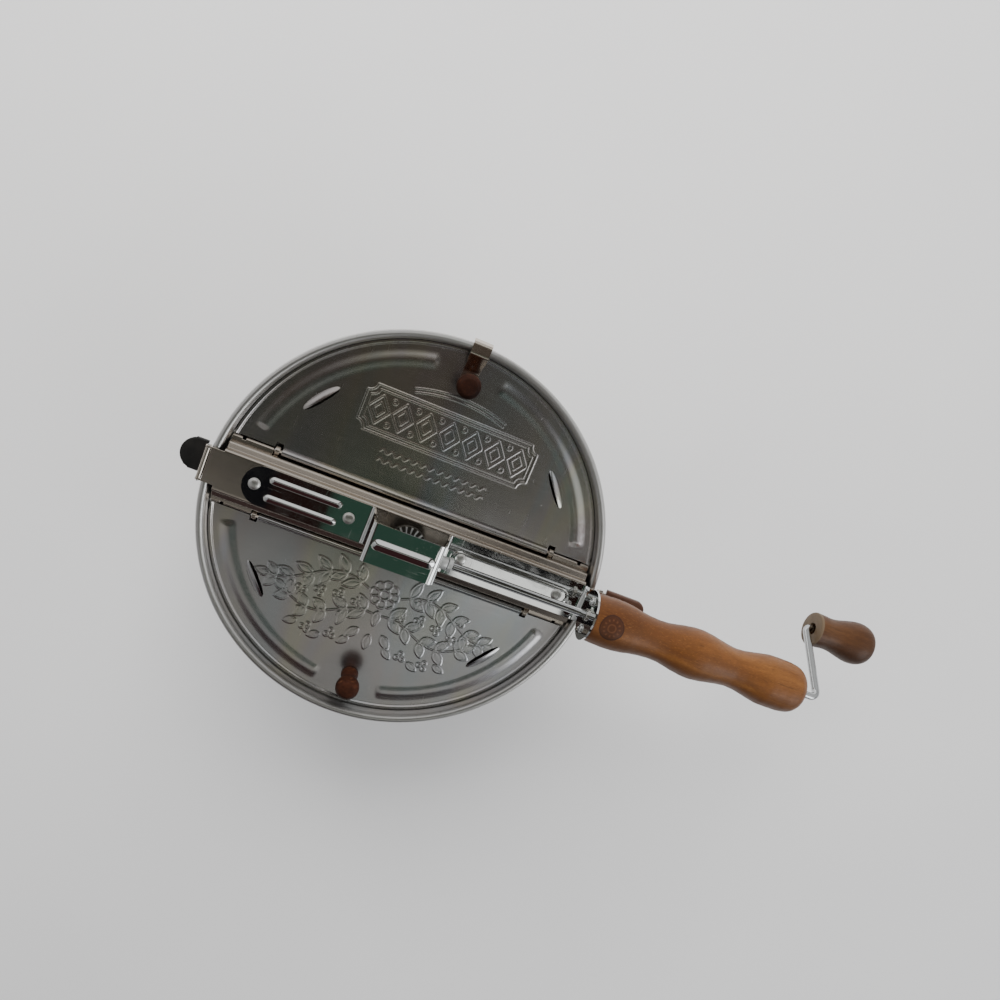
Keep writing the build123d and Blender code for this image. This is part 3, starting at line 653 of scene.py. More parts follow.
MATS["gear"] = gear_zinc()
MATS["handle"] = wood("honey_wood", (0.070, 0.023, 0.0055), (0.148, 0.055, 0.0135), (0.252, 0.110, 0.031), axis=0, mark=dark_band, gloss=0.42, coat=0.05, spec=0.30)
MATS["grip"] = wood("grip_wood", (0.030, 0.011, 0.004), (0.062, 0.024, 0.008), (0.105, 0.046, 0.016), axis=0, endgrain=grip_end, gloss=0.44, coat=0.05, spec=0.30)
MATS["knob"] = wood("dark_wood", (0.008, 0.003, 0.002), (0.020, 0.007, 0.004), (0.050, 0.016, 0.008), axis=2, gloss=0.55, coat=0.0, spec=0.12, mark=knob_flecks_and_rim_highlight)


def vinyl():
    M = Mat("black_vinyl")
    n = M.noise(M.coords(), 900.0, 5.0, 0.6)
    w = M.noise(M.coords(loc=(1, 2, 3)), 90.0, 4.0, 0.6)
    col = M.ramp(w, [(0.3, (0.006, 0.006, 0.006)), (0.7, (0.015, 0.014, 0.013))])
    M.set(color=col, rough=M.rng(n, 0.3, 0.7, 0.45, 0.65), spec=0.22)
    M.bump(n, 0.35, 0.04)
    return M.m


def brown_plastic():
    M = Mat("brown_plastic")
    n = M.noise(M.coords(), 1300.0, 4.0, 0.6)
    w = M.noise(M.coords(loc=(1, 2, 3)), 60.0, 4.0, 0.6, 0.5)
    col = M.ramp(w, [(0.3, (0.045, 0.020, 0.013)), (0.7, (0.085, 0.040, 0.026))])
    M.set(color=col, rough=M.rng(n, 0.3, 0.7, 0.34, 0.5), spec=0.5)
    M.bump(n, 0.4, 0.04)
    return M.m


MATS["vinyl"] = vinyl()
MATS["brown"] = brown_plastic()

# ------------------------------------------------------------------ camera --

cam_data = bpy.data.cameras.new("camera")
cam = bpy.data.objects.new("camera", cam_data)
COLL.objects.link(cam)
rot = [(0.9181, 0.3829, 0.1027), (0.3529, -0.9074, 0.2283), (0.1807, -0.1734, -0.9681)]
cx, cz = Vector(rot[0]), -Vector(rot[2])
cz.normalize()
cx = (cx - cz * cx.dot(cz)).normalized()
cy = cz.cross(cx)
cm = Matrix(((cx.x, cy.x, cz.x, 0), (cx.y, cy.y, cz.y, 0), (cx.z, cy.z, cz.z, 0), (0, 0, 0, 1)))
cm.translation = Vector((-0.0445, 0.1300, 0.6243))
cam.matrix_world = cm
cam_data.lens = 28.8
cam_data.sensor_width = 36.0
cam_data.clip_start = 0.01
bpy.context.scene.camera = cam

# --------------------------------------------------------------------- pan --

RIM_Z, BEAD, BEAD_RC = 140.0, 2.5, 124.5
outer = fillet_path([(0, 0), (112.0, 0), (118.0, 129.5), (122.4, 131.0), (122.4, 136.6)], [14, 2, 1.2], seg=10, step=4.0)
bead = []
a0, a1 = math.radians(-148), math.radians(205)
for k in range(41):
    a = a0 + (a1 - a0) * k / 40
    bead.append((BEAD_RC + BEAD * math.cos(a), RIM_Z + BEAD * math.sin(a)))
inner = fillet_path([(121.5, 137.6), (121.5, 131.8), (117.0, 131.8), (111.0, 1.2), (0, 1.2)], [0.8, 0.7, 12.9], seg=8, step=4.0)
prof = [p for p in outer] + bead + inner
prof = [(max(0.0, float(p[0])), float(p[1])) for p in prof]


def base_rings(r, s, a):
    # returns the point unchanged: no pressed ring is made, and nothing calls it
    return r, s


v, f = lathe(prof, n=256)
pan = new_object("pan_shell", v, f, MATS["pan"], "frame", "pan_aluminium", ["pan_body"], sharp=50)
fix_normals(pan)

# -------------------------------------------------------------------- lids --

LID_R, LID_Z0, LID_T = 121.0, 132.2, 0.8
ZM = LID_Z0 + LID_T / 2
rng = random.Random(7)


def blossom(cx_, cy_, r, lobes, rot_, depth, seed):
    """Outline of a lobed motif as points."""
    q = random.Random(seed)
    amp = [q.uniform(0.85, 1.15) for _ in range(lobes)]
    pts = []
    m = 26 * lobes
    for k in range(m):
        a = 2 * math.pi * k / m
        ph = a * lobes / (2 * math.pi)
        i = int(ph) % lobes
        t = ph - int(ph)
        bul = abs(math.sin(math.pi * t)) ** 0.6
        rr = r * (1 - depth + depth * bul * amp[i])
        pts.append((cx_ + rr * math.cos(a + rot_), cy_ + rr * math.sin(a + rot_)))
    return np.array(pts)


def seg_dist(P, A, B):
    """Distance from points P (n,2) to the segment AB."""
    d = B - A
    t = np.clip(((P - A) @ d) / max(float(d @ d), 1e-12), 0, 1)
    return np.hypot(*(P - A - t[:, None] * d).T)


def add_line(H, X, Y, pts, half, height, closed=True):
    """Raised bead of given half width along a polyline, kept as the highest so far."""
    n = len(pts)
    for k in range(n if closed else n - 1):
        A, B = pts[k], pts[(k + 1) % n]
        x0, x1 = min(A[0], B[0]) - half, max(A[0], B[0]) + half
        y0, y1 = min(A[1], B[1]) - half, max(A[1], B[1]) + half
        m = (X > x0) & (X < x1) & (Y > y0) & (Y < y1)
        if not m.any():
            continue
        d = seg_dist(np.stack([X[m], Y[m]], 1), A, B)
        h = height * 0.5 * (1 + np.cos(np.pi * np.clip(d / half, 0, 1)))
        H[m] = np.maximum(H[m], h)


def leaf(H, X, Y, x, y, ang, L, w, half=0.80, h=0.30):
    """A pointed leaf outline with a midrib and a low cushion inside, starting at (x, y)."""
    t = np.linspace(0, 1, 15)
    side = w * np.sin(math.pi * t) ** 0.75 * (1 - 0.35 * t)
    c, s_ = math.cos(ang), math.sin(ang)

    def put(a, b):
        return np.stack([x + a * c - b * s_, y + a * s_ + b * c], 1)

    up, dn = put(t * L, side), put(t[::-1] * L, -side[::-1])
    add_line(H, X, Y, np.concatenate([up, dn[1:-1]]), half, h)
    add_line(H, X, Y, put(t * L * 0.78, 0.5 * np.sin(t * 3.1) * 0.6), 0.62, h * 0.8, closed=False)
    q = ((X - x) * c + (Y - y) * s_) / L
    p = (-(X - x) * s_ + (Y - y) * c) / w
    ins = (q > 0) & (q < 1)
    cush = np.where(ins, 0.22 * np.clip(1 - (p / np.maximum(0.08, np.sin(math.pi * np.clip(q, 0, 1)) ** 0.75)) ** 2, 0, 1) * np.sin(math.pi * np.clip(q, 0, 1)), 0.0)
    H[:] = np.maximum(H, cush)


def ring_line(H, X, Y, x, y, r, half, h, n=26):
    a = np.linspace(0, 2 * math.pi, n, endpoint=False)
    add_line(H, X, Y, np.stack([x + r * np.cos(a), y + r * np.sin(a)], 1), half, h)


def relief_b(H, X, Y):
    """Two leafy sprays rising from a rosette in the middle (the -Y lid)."""
    q = random.Random(12)
    ring_line(H, X, Y, 2.0, -43.0, 3.2, 0.8, 0.30)
    for k in range(8):
        a = 2 * math.pi * k / 8
        pts = blossom(2.0 + 6.6 * math.cos(a), -43.0 + 6.6 * math.sin(a), 2.9, 3, a, 0.12, 5)
        add_line(H, X, Y, pts, 0.75, 0.28)
    for sx in (-1, 1):
        for lane, (y0, bend, x_end, size) in enumerate(((-42.0, 6.5, 72.0, 12.5), (-63.0, 6.0, 60.0, 12.0))):
            xs_ = np.linspace(11.0 if lane == 0 else 3.0, x_end, 60)
            t = (xs_ - xs_[0]) / (xs_[-1] - xs_[0])
            ys_ = y0 + bend * np.sin(t * math.pi * 1.6 + (0.0 if lane == 0 else 1.2)) - (6.0 * t if lane == 0 else -2.0 * t)
            stem = np.stack([2.0 + sx * xs_, ys_], 1)
            add_line(H, X, Y, stem, 0.72, 0.26, closed=False)
            m = 6 if lane == 0 else 5
            for k in range(m):
                i = int(5 + 50 * k / (m - 1))
                px_, py_ = stem[i]
                dirn = math.atan2(stem[i][1] - stem[i - 3][1], stem[i][0] - stem[i - 3][0])
                for sd in (-1, 1):
                    an = dirn + sd * sx * (0.85 + q.uniform(-0.12, 0.12))
                    leaf(H, X, Y, px_ + 0.8 * math.cos(an), py_ + 0.8 * math.sin(an), an, size * q.uniform(0.88, 1.05) * (1 - 0.25 * k / m), 3.3)
                if k < m - 1:
                    jx, jy = stem[min(59, i + 5)]
                    an = dirn + (1.57 if k % 2 else -1.57)
                    ring_line(H, X, Y, jx + 3.4 * math.cos(an), jy + 3.4 * math.sin(an), 1.5, 0.7, 0.28, 16)
            leaf(H, X, Y, stem[-1][0], stem[-1][1], math.atan2(stem[-1][1] - stem[-4][1], stem[-1][0] - stem[-4][0]), size * 0.8, 3.0)
    # small sprig between the sprays
    for k, (x, y, an) in enumerate(((2, -55, -1.57), (2, -72, -1.57), (-6, -70, -2.3), (10, -70, -0.84))):
        leaf(H, X, Y, x, y, an, 10.0, 3.0)
    # berries between the sprays, and small leaves under them
    for sx in (-1, 1):
        for x, y in ((15.0, -53.5), (27.5, -52.0), (39.5, -54.0), (51.0, -57.5), (24.0, -79.5), (40.0, -80.5)):
            for j in range(3):
                a = 2.094 * j + 0.5 * x
                ring_line(H, X, Y, 2.0 + sx * x + 2.3 * math.cos(a), y + 2.3 * math.sin(a), 1.5, 0.7, 0.28, 14)
        for x, y, an in ((12.0, -78.0, -0.75), (30.0, -82.0, -0.45), (47.0, -78.0, -0.35)):
            leaf(H, X, Y, 2.0 + sx * x, y, an if sx > 0 else math.pi - an, 8.0, 2.5)


def rounded_frame(x0, x1, y0, y1, notch, n=9):
    """Rectangle with scooped corners."""
    pts = []
    for (cx_, cy_, s) in ((x1, y1, 0), (x0, y1, 1), (x0, y0, 2), (x1, y0, 3)):
        a_start = math.pi * 1.5 - s * -math.pi / 2
        for k in range(n + 1):
            a = {0: (-math.pi / 2, -math.pi), 1: (0, -math.pi / 2), 2: (math.pi / 2, 0), 3: (math.pi, math.pi / 2)}[s]
            t = a[0] + (a[1] - a[0]) * k / n
            pts.append((cx_ + notch * math.cos(t), cy_ + notch * math.sin(t)))
    return np.array(pts)


def relief_a(H, X, Y):
    """A plain double-lined panel with a lattice inside, and two wavy lines under it (the +Y lid)."""
    x0, x1, y0, y1 = -54.0, 58.0, 53.0, 82.0
    add_line(H, X, Y, rounded_frame(x0, x1, y0, y1, 5.0), 0.85, 0.30)
    add_line(H, X, Y, rounded_frame(x0 + 2.6, x1 - 2.6, y0 + 2.6, y1 - 2.6, 4.6), 0.75, 0.24)
    xm = np.linspace(x0 + 10.5, x1 - 10.5, 7)
    ym = 0.5 * (y0 + y1)
    for k, x in enumerate(xm):
        w, h = 6.9, 9.2
        add_line(H, X, Y, np.array([(x - w, ym), (x, ym + h), (x + w, ym), (x, ym - h)]), 0.80, 0.30)
        add_line(H, X, Y, np.array([(x - w * 0.5, ym), (x, ym + h * 0.5), (x + w * 0.5, ym), (x, ym - h * 0.5)]), 0.75, 0.26)
    for x in 0.5 * (xm[:-1] + xm[1:]):
        for s in (-1, 1):
            c = [(x + 1.5 * math.cos(t), ym + s * 7.6 + 1.5 * math.sin(t)) for t in np.linspace(0, 6.28, 14)]
            add_line(H, X, Y, np.array(c), 0.75, 0.24)
    for yy in (44.5, 38.5):
        xs = np.linspace(-34, 36, 140)
        pts = np.stack([xs, yy + 1.25 * np.sin(xs * 2 * math.pi / 5.6)], 1)
        add_line(H, X, Y, pts, 0.70, 0.22, closed=False)
    # arched double line over the panel
    for r in (0.0, 2.6):
        a = np.linspace(math.radians(72), math.radians(108), 60)
        pts = np.stack([2 + (96.5 - r) * np.cos(a), -4 + (96.5 - r) * np.sin(a)], 1)
        add_line(H, X, Y, pts, 0.75, 0.24, closed=False)


VENT = [(77.6, 61.0), (-77.6, 61.0)]


def lid_height(X, Y, sy):
    """Heights over the flat lid; Y is the distance from the centre line on either lid."""
    R = np.hypot(X, Y)
    A = np.degrees(np.arctan2(Y, X))
    H = np.zeros_like(X)
    # lip
    H += 1.05 * sstep(118.4, 119.8, R)
    # arc beads near the edge
    for a_0, a_1 in ((17, 79), (101, 163)):
        along = sstep(a_0 - 1.0, a_0 + 1.4, A) * (1 - sstep(a_1 - 1.4, a_1 + 1.0, A))
        d = np.abs(R - 109.6)
        H = np.maximum(H, 0.64 * along * 0.5 * (1 + np.cos(np.pi * np.clip(d / 6.0, 0, 1))) ** 1.0)
    # very slight crown and handling waviness
    H += 0.25 * np.exp(-((R - 60) / 45.0) ** 2) - 0.12
    H += 0.035 * np.sin(X * 0.071 + 1.3) * np.sin(Y * 0.083 + 0.4) + 0.02 * np.sin(X * 0.19 + 2.0 + Y * 0.11)
    E = np.zeros_like(X)
    if sy > 0:
        relief_a(E, X, Y)
    else:
        relief_b(E, X, -Y)
    return H + E


def make_lid(tag, sy):
    y_in = 22.9
    nx = 500
    xs = np.linspace(-117.6, 117.6, nx)
    # put grid lines on the notch sides
    for xe in (-93.1, -88.9, 88.9, 93.1):
        xs[np.argmin(np.abs(xs - xe))] = xe
    ny = 215
    vv = np.linspace(0, 1, ny)
    X = np.repeat(xs[:, None], ny, 1)
    ymax = np.sqrt(np.maximum(LID_R ** 2 - xs ** 2, y_in ** 2 + 1.0))
    Ystart = np.where((np.abs(xs) >= 88.9) & (np.abs(xs) <= 93.1), 26.0, y_in)
    Y = Ystart[:, None] + (ymax - Ystart)[:, None] * vv[None, :]
    H = lid_height(X, Y, sy)
    # punched vents
    inside = np.zeros_like(X, bool)
    for (cx_, cy_) in VENT:
        rr = math.hypot(cx_, cy_)
        er, et = (cx_ / rr, cy_ / rr), (-cy_ / rr, cx_ / rr)
        U = (X - cx_) * et[0] + (Y - cy_) * et[1]
        W = (X - cx_) * er[0] + (Y - cy_) * er[1] + 0.3
        E = np.sqrt((U / 12.4) ** 2 + (W / 2.0) ** 2)
        inside |= E < 1.0
        # snap near vertices on to the cut
        near = (E >= 1.0) & (E < 1.30)
        k = 1.0 / np.maximum(E, 1e-6)
        Xn = cx_ + U * k * et[0] + (W * k - 0.3) * er[0]
        Yn = cy_ + U * k * et[1] + (W * k - 0.3) * er[1]
        dist = np.hypot(Xn - X, Yn - Y)
        near &= dist < 0.42
        X = np.where(near, Xn, X)
        Y = np.where(near, Yn, Y)
    Z = ZM + H
    V = np.stack([X, Y * sy, Z], 2)
    du, dv = np.gradient(V, axis=0), np.gradient(V, axis=1)
    N = np.cross(du, dv)
    N /= np.maximum(np.linalg.norm(N, axis=2, keepdims=True), 1e-9)
    N *= np.sign(N[:, :, 2:3] + 1e-12)
    faces = []
    ins = inside
    for i in range(nx - 1):
        for j in range(ny - 1):
            if ins[i, j] or ins[i + 1, j] or ins[i + 1, j + 1] or ins[i, j + 1]:
                continue
            a, b, c, d = i * ny + j, (i + 1) * ny + j, (i + 1) * ny + j + 1, i * ny + j + 1
            faces.append((a, b, c, d) if sy > 0 else (a, d, c, b))
    v, f = shell(V.reshape(-1, 3), N.reshape(-1, 3), faces, LID_T)
    body = "half_lid_" + tag
    o = new_object(f"lid_{tag}_panel", v, f, MATS["lid"], body, "lid_aluminium", [f"lid_{tag}"], sharp=55)
    # rolled hinge edge
    path = [(24.2, 132.62)]
    for k in range(0, 33):
        a = -math.pi / 2 - (math.radians(292)) * k / 32
        path.append((21.6 + 1.9 * math.cos(a), 134.6 + 1.9 * math.sin(a)))
    st = [-88.2] + list(np.linspace(-87.6, 87.6, 40)) + [88.2]
    v, f = sheet_along(path, st, lambda a, b, s: (s, sy * a, b), 0.78)
    r = new_object(f"lid_{tag}_hinge_roll", v, f, MATS["lid"], body, "lid_aluminium", sharp=50)
    fix_normals(r)
    bevel(r, 0.12, 2, 60)
    # louvre hoods, open towards the middle
    for n, (cx_, cy_) in enumerate(VENT):
        rr = math.hypot(cx_, cy_)
        er, et = np.array((cx_ / rr, cy_ / rr)), np.array((-cy_ / rr, cx_ / rr))
        nu, nw = 45, 13
        us, ws = np.linspace(-1, 1, nu), np.linspace(0, 1, nw)
        V = np.zeros((nu, nw, 3))
        for i, u_ in enumerate(us):
            q = max(0.0, 1 - u_ * u_)
            for j, w_ in enumerate(ws):
                lens = math.sqrt(q)
                ro = -0.75 * lens - 0.3 + (4.3 * lens + 0.1) * w_
                z = 2.1 * q ** 0.85 * math.cos(math.pi / 2 * w_) ** 0.8 if w_ < 1 else 0.0
                p = np.array((cx_, cy_)) + et * (u_ * 12.9) + er * ro
                V[i, j] = (p[0], p[1] * sy, ZM + 0.02 + z + (0.12 if w_ < 1 else 0.0))
        du, dv = np.gradient(V, axis=0), np.gradient(V, axis=1)
        N = np.cross(du, dv)
        N /= np.maximum(np.linalg.norm(N, axis=2, keepdims=True), 1e-9)
        N *= np.sign(N[:, :, 2:3] + 1e-9)
        fs = []
        for i in range(nu - 1):
            for j in range(nw - 1):
                fs.append((i * nw + j, (i + 1) * nw + j, (i + 1) * nw + j + 1, i * nw + j + 1))
        p0, p1, p2 = [V.reshape(-1, 3)[k] for k in fs[5][:3]]
        if np.cross(p1 - p0, p2 - p1)[2] < 0:
            fs = [g[::-1] for g in fs]
        v, f = shell(V.reshape(-1, 3), N.reshape(-1, 3), fs, 0.55)
        h = new_object(f"lid_{tag}_vent_{n + 1}", v, f, MATS["lid"], body, "lid_aluminium", sharp=60)
        fix_normals(h)
    return o


make_lid("a", 1)
make_lid("b", -1)

# hinge wires
for tag, sy in (("a", 1), ("b", -1)):
    v, f = tube([(-93.0, sy * 21.6, 134.6), (-50, sy * 21.6, 134.6), (50, sy * 21.6, 134.6), (93.0, sy * 21.6, 134.6)], 1.2, n=20)
    new_object(f"hinge_pin_{tag}", v, f, MATS["wire"], "frame", "wire_steel", [f"hinge_wire_{tag}"], sharp=50)

# ---------------------------------------------------------------- crossbar --

T = 1.0
NECK_YO = 0.9
sec = fillet_path([(-17.7, 132.0), (-17.7, 138.1), (-13.4, 139.15), (-13.4, 143.5), (13.4, 143.5), (13.4, 139.15), (17.7, 138.1), (17.7, 132.0)],
                  [1.3, 1.1, 1.5, 1.5, 1.1, 1.3], seg=6)
fine = []
for a, b in zip(sec[:-1], sec[1:]):
    fine.append(a)
    if abs(a[1] - 143.5) < 1e-6 and abs(b[1] - 143.5) < 1e-6:
        for y in (-11.0, -10.1, -7.0, -4.6, 0.0, 4.6, 7.0, 11.0, 11.9):
            if a[0] + 0.05 < y < b[0] - 0.05:
                fine.append(np.array((y, 143.5)))
fine.append(sec[-1])
xs = [-126.2, -125.6, -124.0, -121.0, -118.6, -117.6] + list(np.linspace(-112, 112, 57)) + [117.6, 118.6, 121.0, 124.0, 128.0, 132.4, 133.4]


def keep_bar(y, z, x, i):
    if abs(x) <= 118.6:
        return True
    top = abs(z - 143.5) < 1e-3
    return top and (-10.1 < y < 11.9 if x < 0 else -11.0 < y < 11.0)


v, f = sheet_along(fine, xs, lambda a, b, s: (s, a, b), T, keep=keep_bar)
bar = new_object("crossbar_channel", v, f, MATS["bar"], "frame", "tinned_steel", ["crossbar"], sharp=32)
fix_normals(bar)
bevel(bar, 0.22, 2, 60)

parts = []
for s in (-1, 1):
    for x0, x1 in ((93.4, 118.6), (-118.6, -93.4)):
        # ledge with its outer edge turned down a little and a slot
        path = fillet_path([(17.4, 134.1), (21.7, 134.1), (21.7, 132.2)], [0.9], seg=5)
        sx = 110.6 if x0 > 0 else -112.8
        st = sorted(set([x0, x0 + 0.6, sx, sx + 2.2, x1 - 3.2, x1 - 0.6, x1]))

        def keep_ledge(y, z, x, i, sx=sx):
            return not (sx < x < sx + 2.2 and y > 20.4)

        pts = [np.array(p) for p in path]
        ins = []
        for a, b in zip(pts[:-1], pts[1:]):
            ins.append(a)
            if a[0] < 20.5 < b[0]:
                ins.append(np.array((20.5, 134.1)))
        ins.append(pts[-1])
        v, f = sheet_along(ins, st, lambda a, b, q, s=s: (q, s * a, b), 0.95, keep=keep_ledge)
        parts.append((v, f))
ledges = new_object("crossbar_ledges", *merge(*parts), MATS["bar"], "frame", "tinned_steel", sharp=35)
fix_normals(ledges)
bevel(ledges, 0.18, 2, 60)

parts = []
for s in (-1, 1):
    for x0 in (89.6, -92.4):
        out = [(17.0, 132.2), (24.1, 132.2)]
        for k in range(13):
            a = math.radians(-20 + 200 * k / 12)
            out.append((21.6 + 2.55 * math.cos(a), 134.55 + 2.55 * math.sin(a)))
        out += [(18.2, 136.9), (17.0, 136.9)]
        parts.append(prism(out, lambda a, b, d, s=s: (d, s * a, b), x0, x0 + 2.8))
    # feet to the pan's seat
    for x0 in (115.4, -118.6):
        parts.append(prism([(17.4, 131.85), (21.9, 131.85), (21.9, 133.8), (17.4, 133.8)], lambda a, b, d, s=s: (d, s * a, b), x0, x0 + 3.2))
# ears at the two ends
for s in (-1, 1):
    y0 = NECK_YO + s * 10.5
    parts.append(prism([(-129.8, 140.7), (-127.1, 140.7), (-127.1, 142.95), (-126.0, 142.95), (-126.0, 143.95), (-129.0, 143.95), (-129.8, 143.2)],
                       lambda a, b, d, y0=y0: (a, y0 + d, b), -0.5, 0.5))
    y0 = s * 10.5
    parts.append(prism([(128.7, 138.5), (133.3, 138.5), (133.3, 143.4), (132.8, 143.9), (128.7, 143.9)],
                       lambda a, b, d, y0=y0: (a, y0 + d, b), -0.5, 0.5))
ears = new_object("crossbar_ears", *merge(*parts), MATS["bar"], "frame", "tinned_steel", sharp=35)
fix_normals(ears)
bevel(ears, 0.22, 2, 40)

# ------------------------------------------------------------- drive strap --

ZC = 144.6
zt = 177.9
px = 120.1
path = fillet_path([(-103.7, ZC), (-24.4, ZC), (-22.9, zt), (20.6, zt), (25.0, ZC), (px, ZC), (px, 182.2)], [1.9, 2.1, 3.6, 2.0, 2.8], seg=8)
dense = []
for a, b in zip(path[:-1], path[1:]):
    L = np.linalg.norm(b - a)
    stepl = 0.8
    n = max(1, int(round(L / stepl)))
    for k in range(n):
        dense.append(a + (b - a) * k / n)
dense.append(path[-1])
SW = 12.2
cols = np.concatenate([np.linspace(-1, -0.96, 2), np.linspace(-0.92, 0.92, 99), np.linspace(0.96, 1, 2)]) * SW


def strap_width(i, p):
    x, z = p
    if x < -91.5 and z < 150:
        d = min(SW - 0.02, -91.5 - x)
        return max(0.03, math.sqrt(max(0.0, SW * SW - d * d)) / SW)
    if x > 119 and z > 147:
        d = z - 166.0
        w = math.sqrt(max(0.0, 16.2 ** 2 - d * d)) if abs(d) < 16.2 else 0.3
        if z < 166:
            w = max(w, SW * (1 - float(sstep(147.5, 151.5, z))) + w * float(sstep(147.5, 151.5, z)))
        return max(0.02, w / SW)
    return 1.0


def rib(s, s0, half, x, x0, x1, h):
    dx = max(x0 + half - x, 0, x - (x1 - half))
    e = s - s0 - 0.22 * half
    e = e / (0.78 if e > 0 else 1.22)
    d = math.hypot(e, dx) / half
    if d >= 1:
        return 0.0
    return h * (1.02 - math.sqrt(d * d + 0.0016)) if d < 0.97 else h * 0.05 * (1 - d) / 0.03


def strap_lift(x, z, s, i):
    if z < 147 and x < 119:
        h = 0.0
        for q in (-1, 1):
            h = max(h, rib(s, q * 5.7, 2.1, x, -88.0, -44.0, 1.0))
        # long low pad with round ends that carries the two right-hand rivets
        dx = max(31.0 + 4.75 - x, 0, x - (110.5 - 4.75))
        d = math.hypot(s, dx)
        h = max(h, 0.5 * (1 - float(sstep(4.0, 5.0, d))))
        return h
    if z > 177 and -22 < x < 20:
        return rib(s, 0.0, 3.2, x, -20.0, 17.5, 1.35)
    return 0.0


def keep_strap(x, z, s, i):
    # the leg and the plate are open round the rod's liner
    if 18.0 < x < 26.0 and math.hypot(s, z - 166.0) < 3.6:
        return False
    if x > 119 and math.hypot(s, z - 166.0) < 3.6:
        return False
    return True


v, f = sheet_along(dense, list(cols), lambda a, b, s: (a, s, b), 1.2, keep=keep_strap, lift=strap_lift, width=strap_width)
strap = new_object("drive_strap_sheet", v, f, MATS["chrome"], "frame", "polished_steel", ["drive_strap"], sharp=45)
fix_normals(strap)
bevel(strap, 0.16, 2, 65)

# rivets
for i, x in enumerate((-96.3, -37.1, 36.5, 102.4)):
    p = [(0, 141.8), (2.6, 141.8), (2.9, 142.1), (2.9, 142.9), (1.85, 143.0), (1.85, 145.2), (3.45, 145.22), (3.68, 145.45)]
    for k in range(1, 11):
        a = math.pi / 2 * k / 10
        p.append((3.68 * math.cos(a), 145.45 + 1.55 * math.sin(a) ** 0.9))
    p[-1] = (0, 147.0)
    v, f = lathe(p, n=40, origin=(x, 0, 0))
    o = new_object(f"rivet_head_{i + 1}", v, f, MATS["rivet"], "frame", "rivet_steel", [f"rivet_{i + 1}"], sharp=50)
    fix_normals(o)

# ------------------------------------------------------------------ handle --

HP = [(120.7, 15.2), (128, 15.6), (137, 15.9), (146, 15.2), (155, 13.6), (165, 12.7), (174, 13.1), (184, 15.0), (194, 16.2), (203, 15.5),
      (212, 13.9), (221, 12.7), (229.3, 13.2), (237.7, 14.8), (246, 16.3), (254.3, 16.5), (261.7, 16.3), (267.3, 15.2), (271.2, 12.6), (272.8, 9.6), (273.3, 6.6)]
hp = smooth_profile([(r, x) for x, r in HP], per=6)
hp = [(4.0, 120.75), (14.4, 120.75), (15.0, 121.0)] + [(float(r), float(x)) for r, x in hp[3:]] + [(4.6, 273.3), (4.0, 272.8)]


def turned_waver(r, s, a):
    return r + 0.06 * math.sin(3 * a + s * 0.05) + 0.04 * math.sin(s * 0.9), s


v, f = closed_lathe(hp, n=128, origin=(0, 0, 166.0), axis=(1, 0, 0), warp=turned_waver)
o = new_object("handle_wood", v, f, MATS["handle"], "frame", "honey_wood", ["handle"], sharp=45)
fix_normals(o)
tp = [(2.56, 118.3), (3.7, 118.3), (4.0, 118.6), (4.0, 272.0), (3.7, 272.4), (2.56, 272.4)]
v, f = closed_lathe(tp, n=40, origin=(0, 0, 166.0), axis=(1, 0, 0))
o = new_object("handle_liner", v, f, MATS["wire"], "frame", "wire_steel", ["handle_tube"], sharp=40)
fix_normals(o)
bp = [(2.56, 18.4), (3.8, 18.4), (4.0, 18.7), (4.0, 26.1), (3.8, 26.4), (2.56, 26.4)]
v, f = closed_lathe(bp, n=40, origin=(0, 0, 166.0), axis=(1, 0, 0))
o = new_object("rod_bush_ring", v, f, MATS["zinc"], "frame", "zinc", ["rod_bush"], sharp=40)
fix_normals(o)
for tag, s in (("a", 1), ("b", -1)):
    p = [(0, 121.0), (1.5, 121.0), (1.5, 119.5), (2.7, 119.45), (2.9, 119.1)]
    for k in range(1, 25):
        a = math.pi / 2 * k / 24
        p.append((2.9 * math.cos(a), 119.1 - 1.3 * math.sin(a)))
    p[-1] = (0, 118.45)

    def slotted(r, q, a):
        # straight driver slot across the dome
        t = abs(r * math.sin(a - 0.8))
        deep = 1.0 - float(sstep(0.36, 0.50, t))
        return r, q + (max(0.0, 118.45 - q) * deep if q < 118.9 else 0.0)

    v, f = lathe(p, n=120, origin=(0, s * 9.4, 166.0), axis=(1, 0, 0), warp=slotted)
    o = new_object(f"handle_screw_head_{tag}", v, f, MATS["chrome"], "frame", "polished_steel", [f"handle_screw_{tag}"], sharp=50)
    fix_normals(o)

# ------------------------------------------------------------------- crank --

ad = Vector((-0.0646, 0.6365, -0.7675)).normalized()
P1 = Vector((288.0, 0, 166.0))
P2 = P1 + ad * 54.2
sa = math.radians(2.0)
uu = (Vector((math.cos(sa), 0, 0)) + ad * math.sin(sa))
P3 = P2 + uu * (51.3 - 6.5)
un = uu.normalized()
rp = fillet_path([(5.5, 0, 166.0), tuple(P1), tuple(P2), tuple(P3)], [5.5, 4.2], seg=14, step=12.0)
v, f = tube([tuple(p) for p in rp], 2.5, n=32)
o = new_object("crank_rod_bent", v, f, MATS["rod"], "crank", "polished_steel", ["crank_rod"], sharp=50)
cp = [(2.5, 27.0), (4.1, 27.0), (4.4, 27.3), (4.4, 29.3), (4.1, 29.6), (2.5, 29.6)]
v, f = closed_lathe(cp, n=40, origin=(0, 0, 166.0), axis=(1, 0, 0))
o = new_object("rod_collar_ring", v, f, MATS["zinc"], "crank", "zinc", ["rod_collar"], sharp=40)
fix_normals(o)

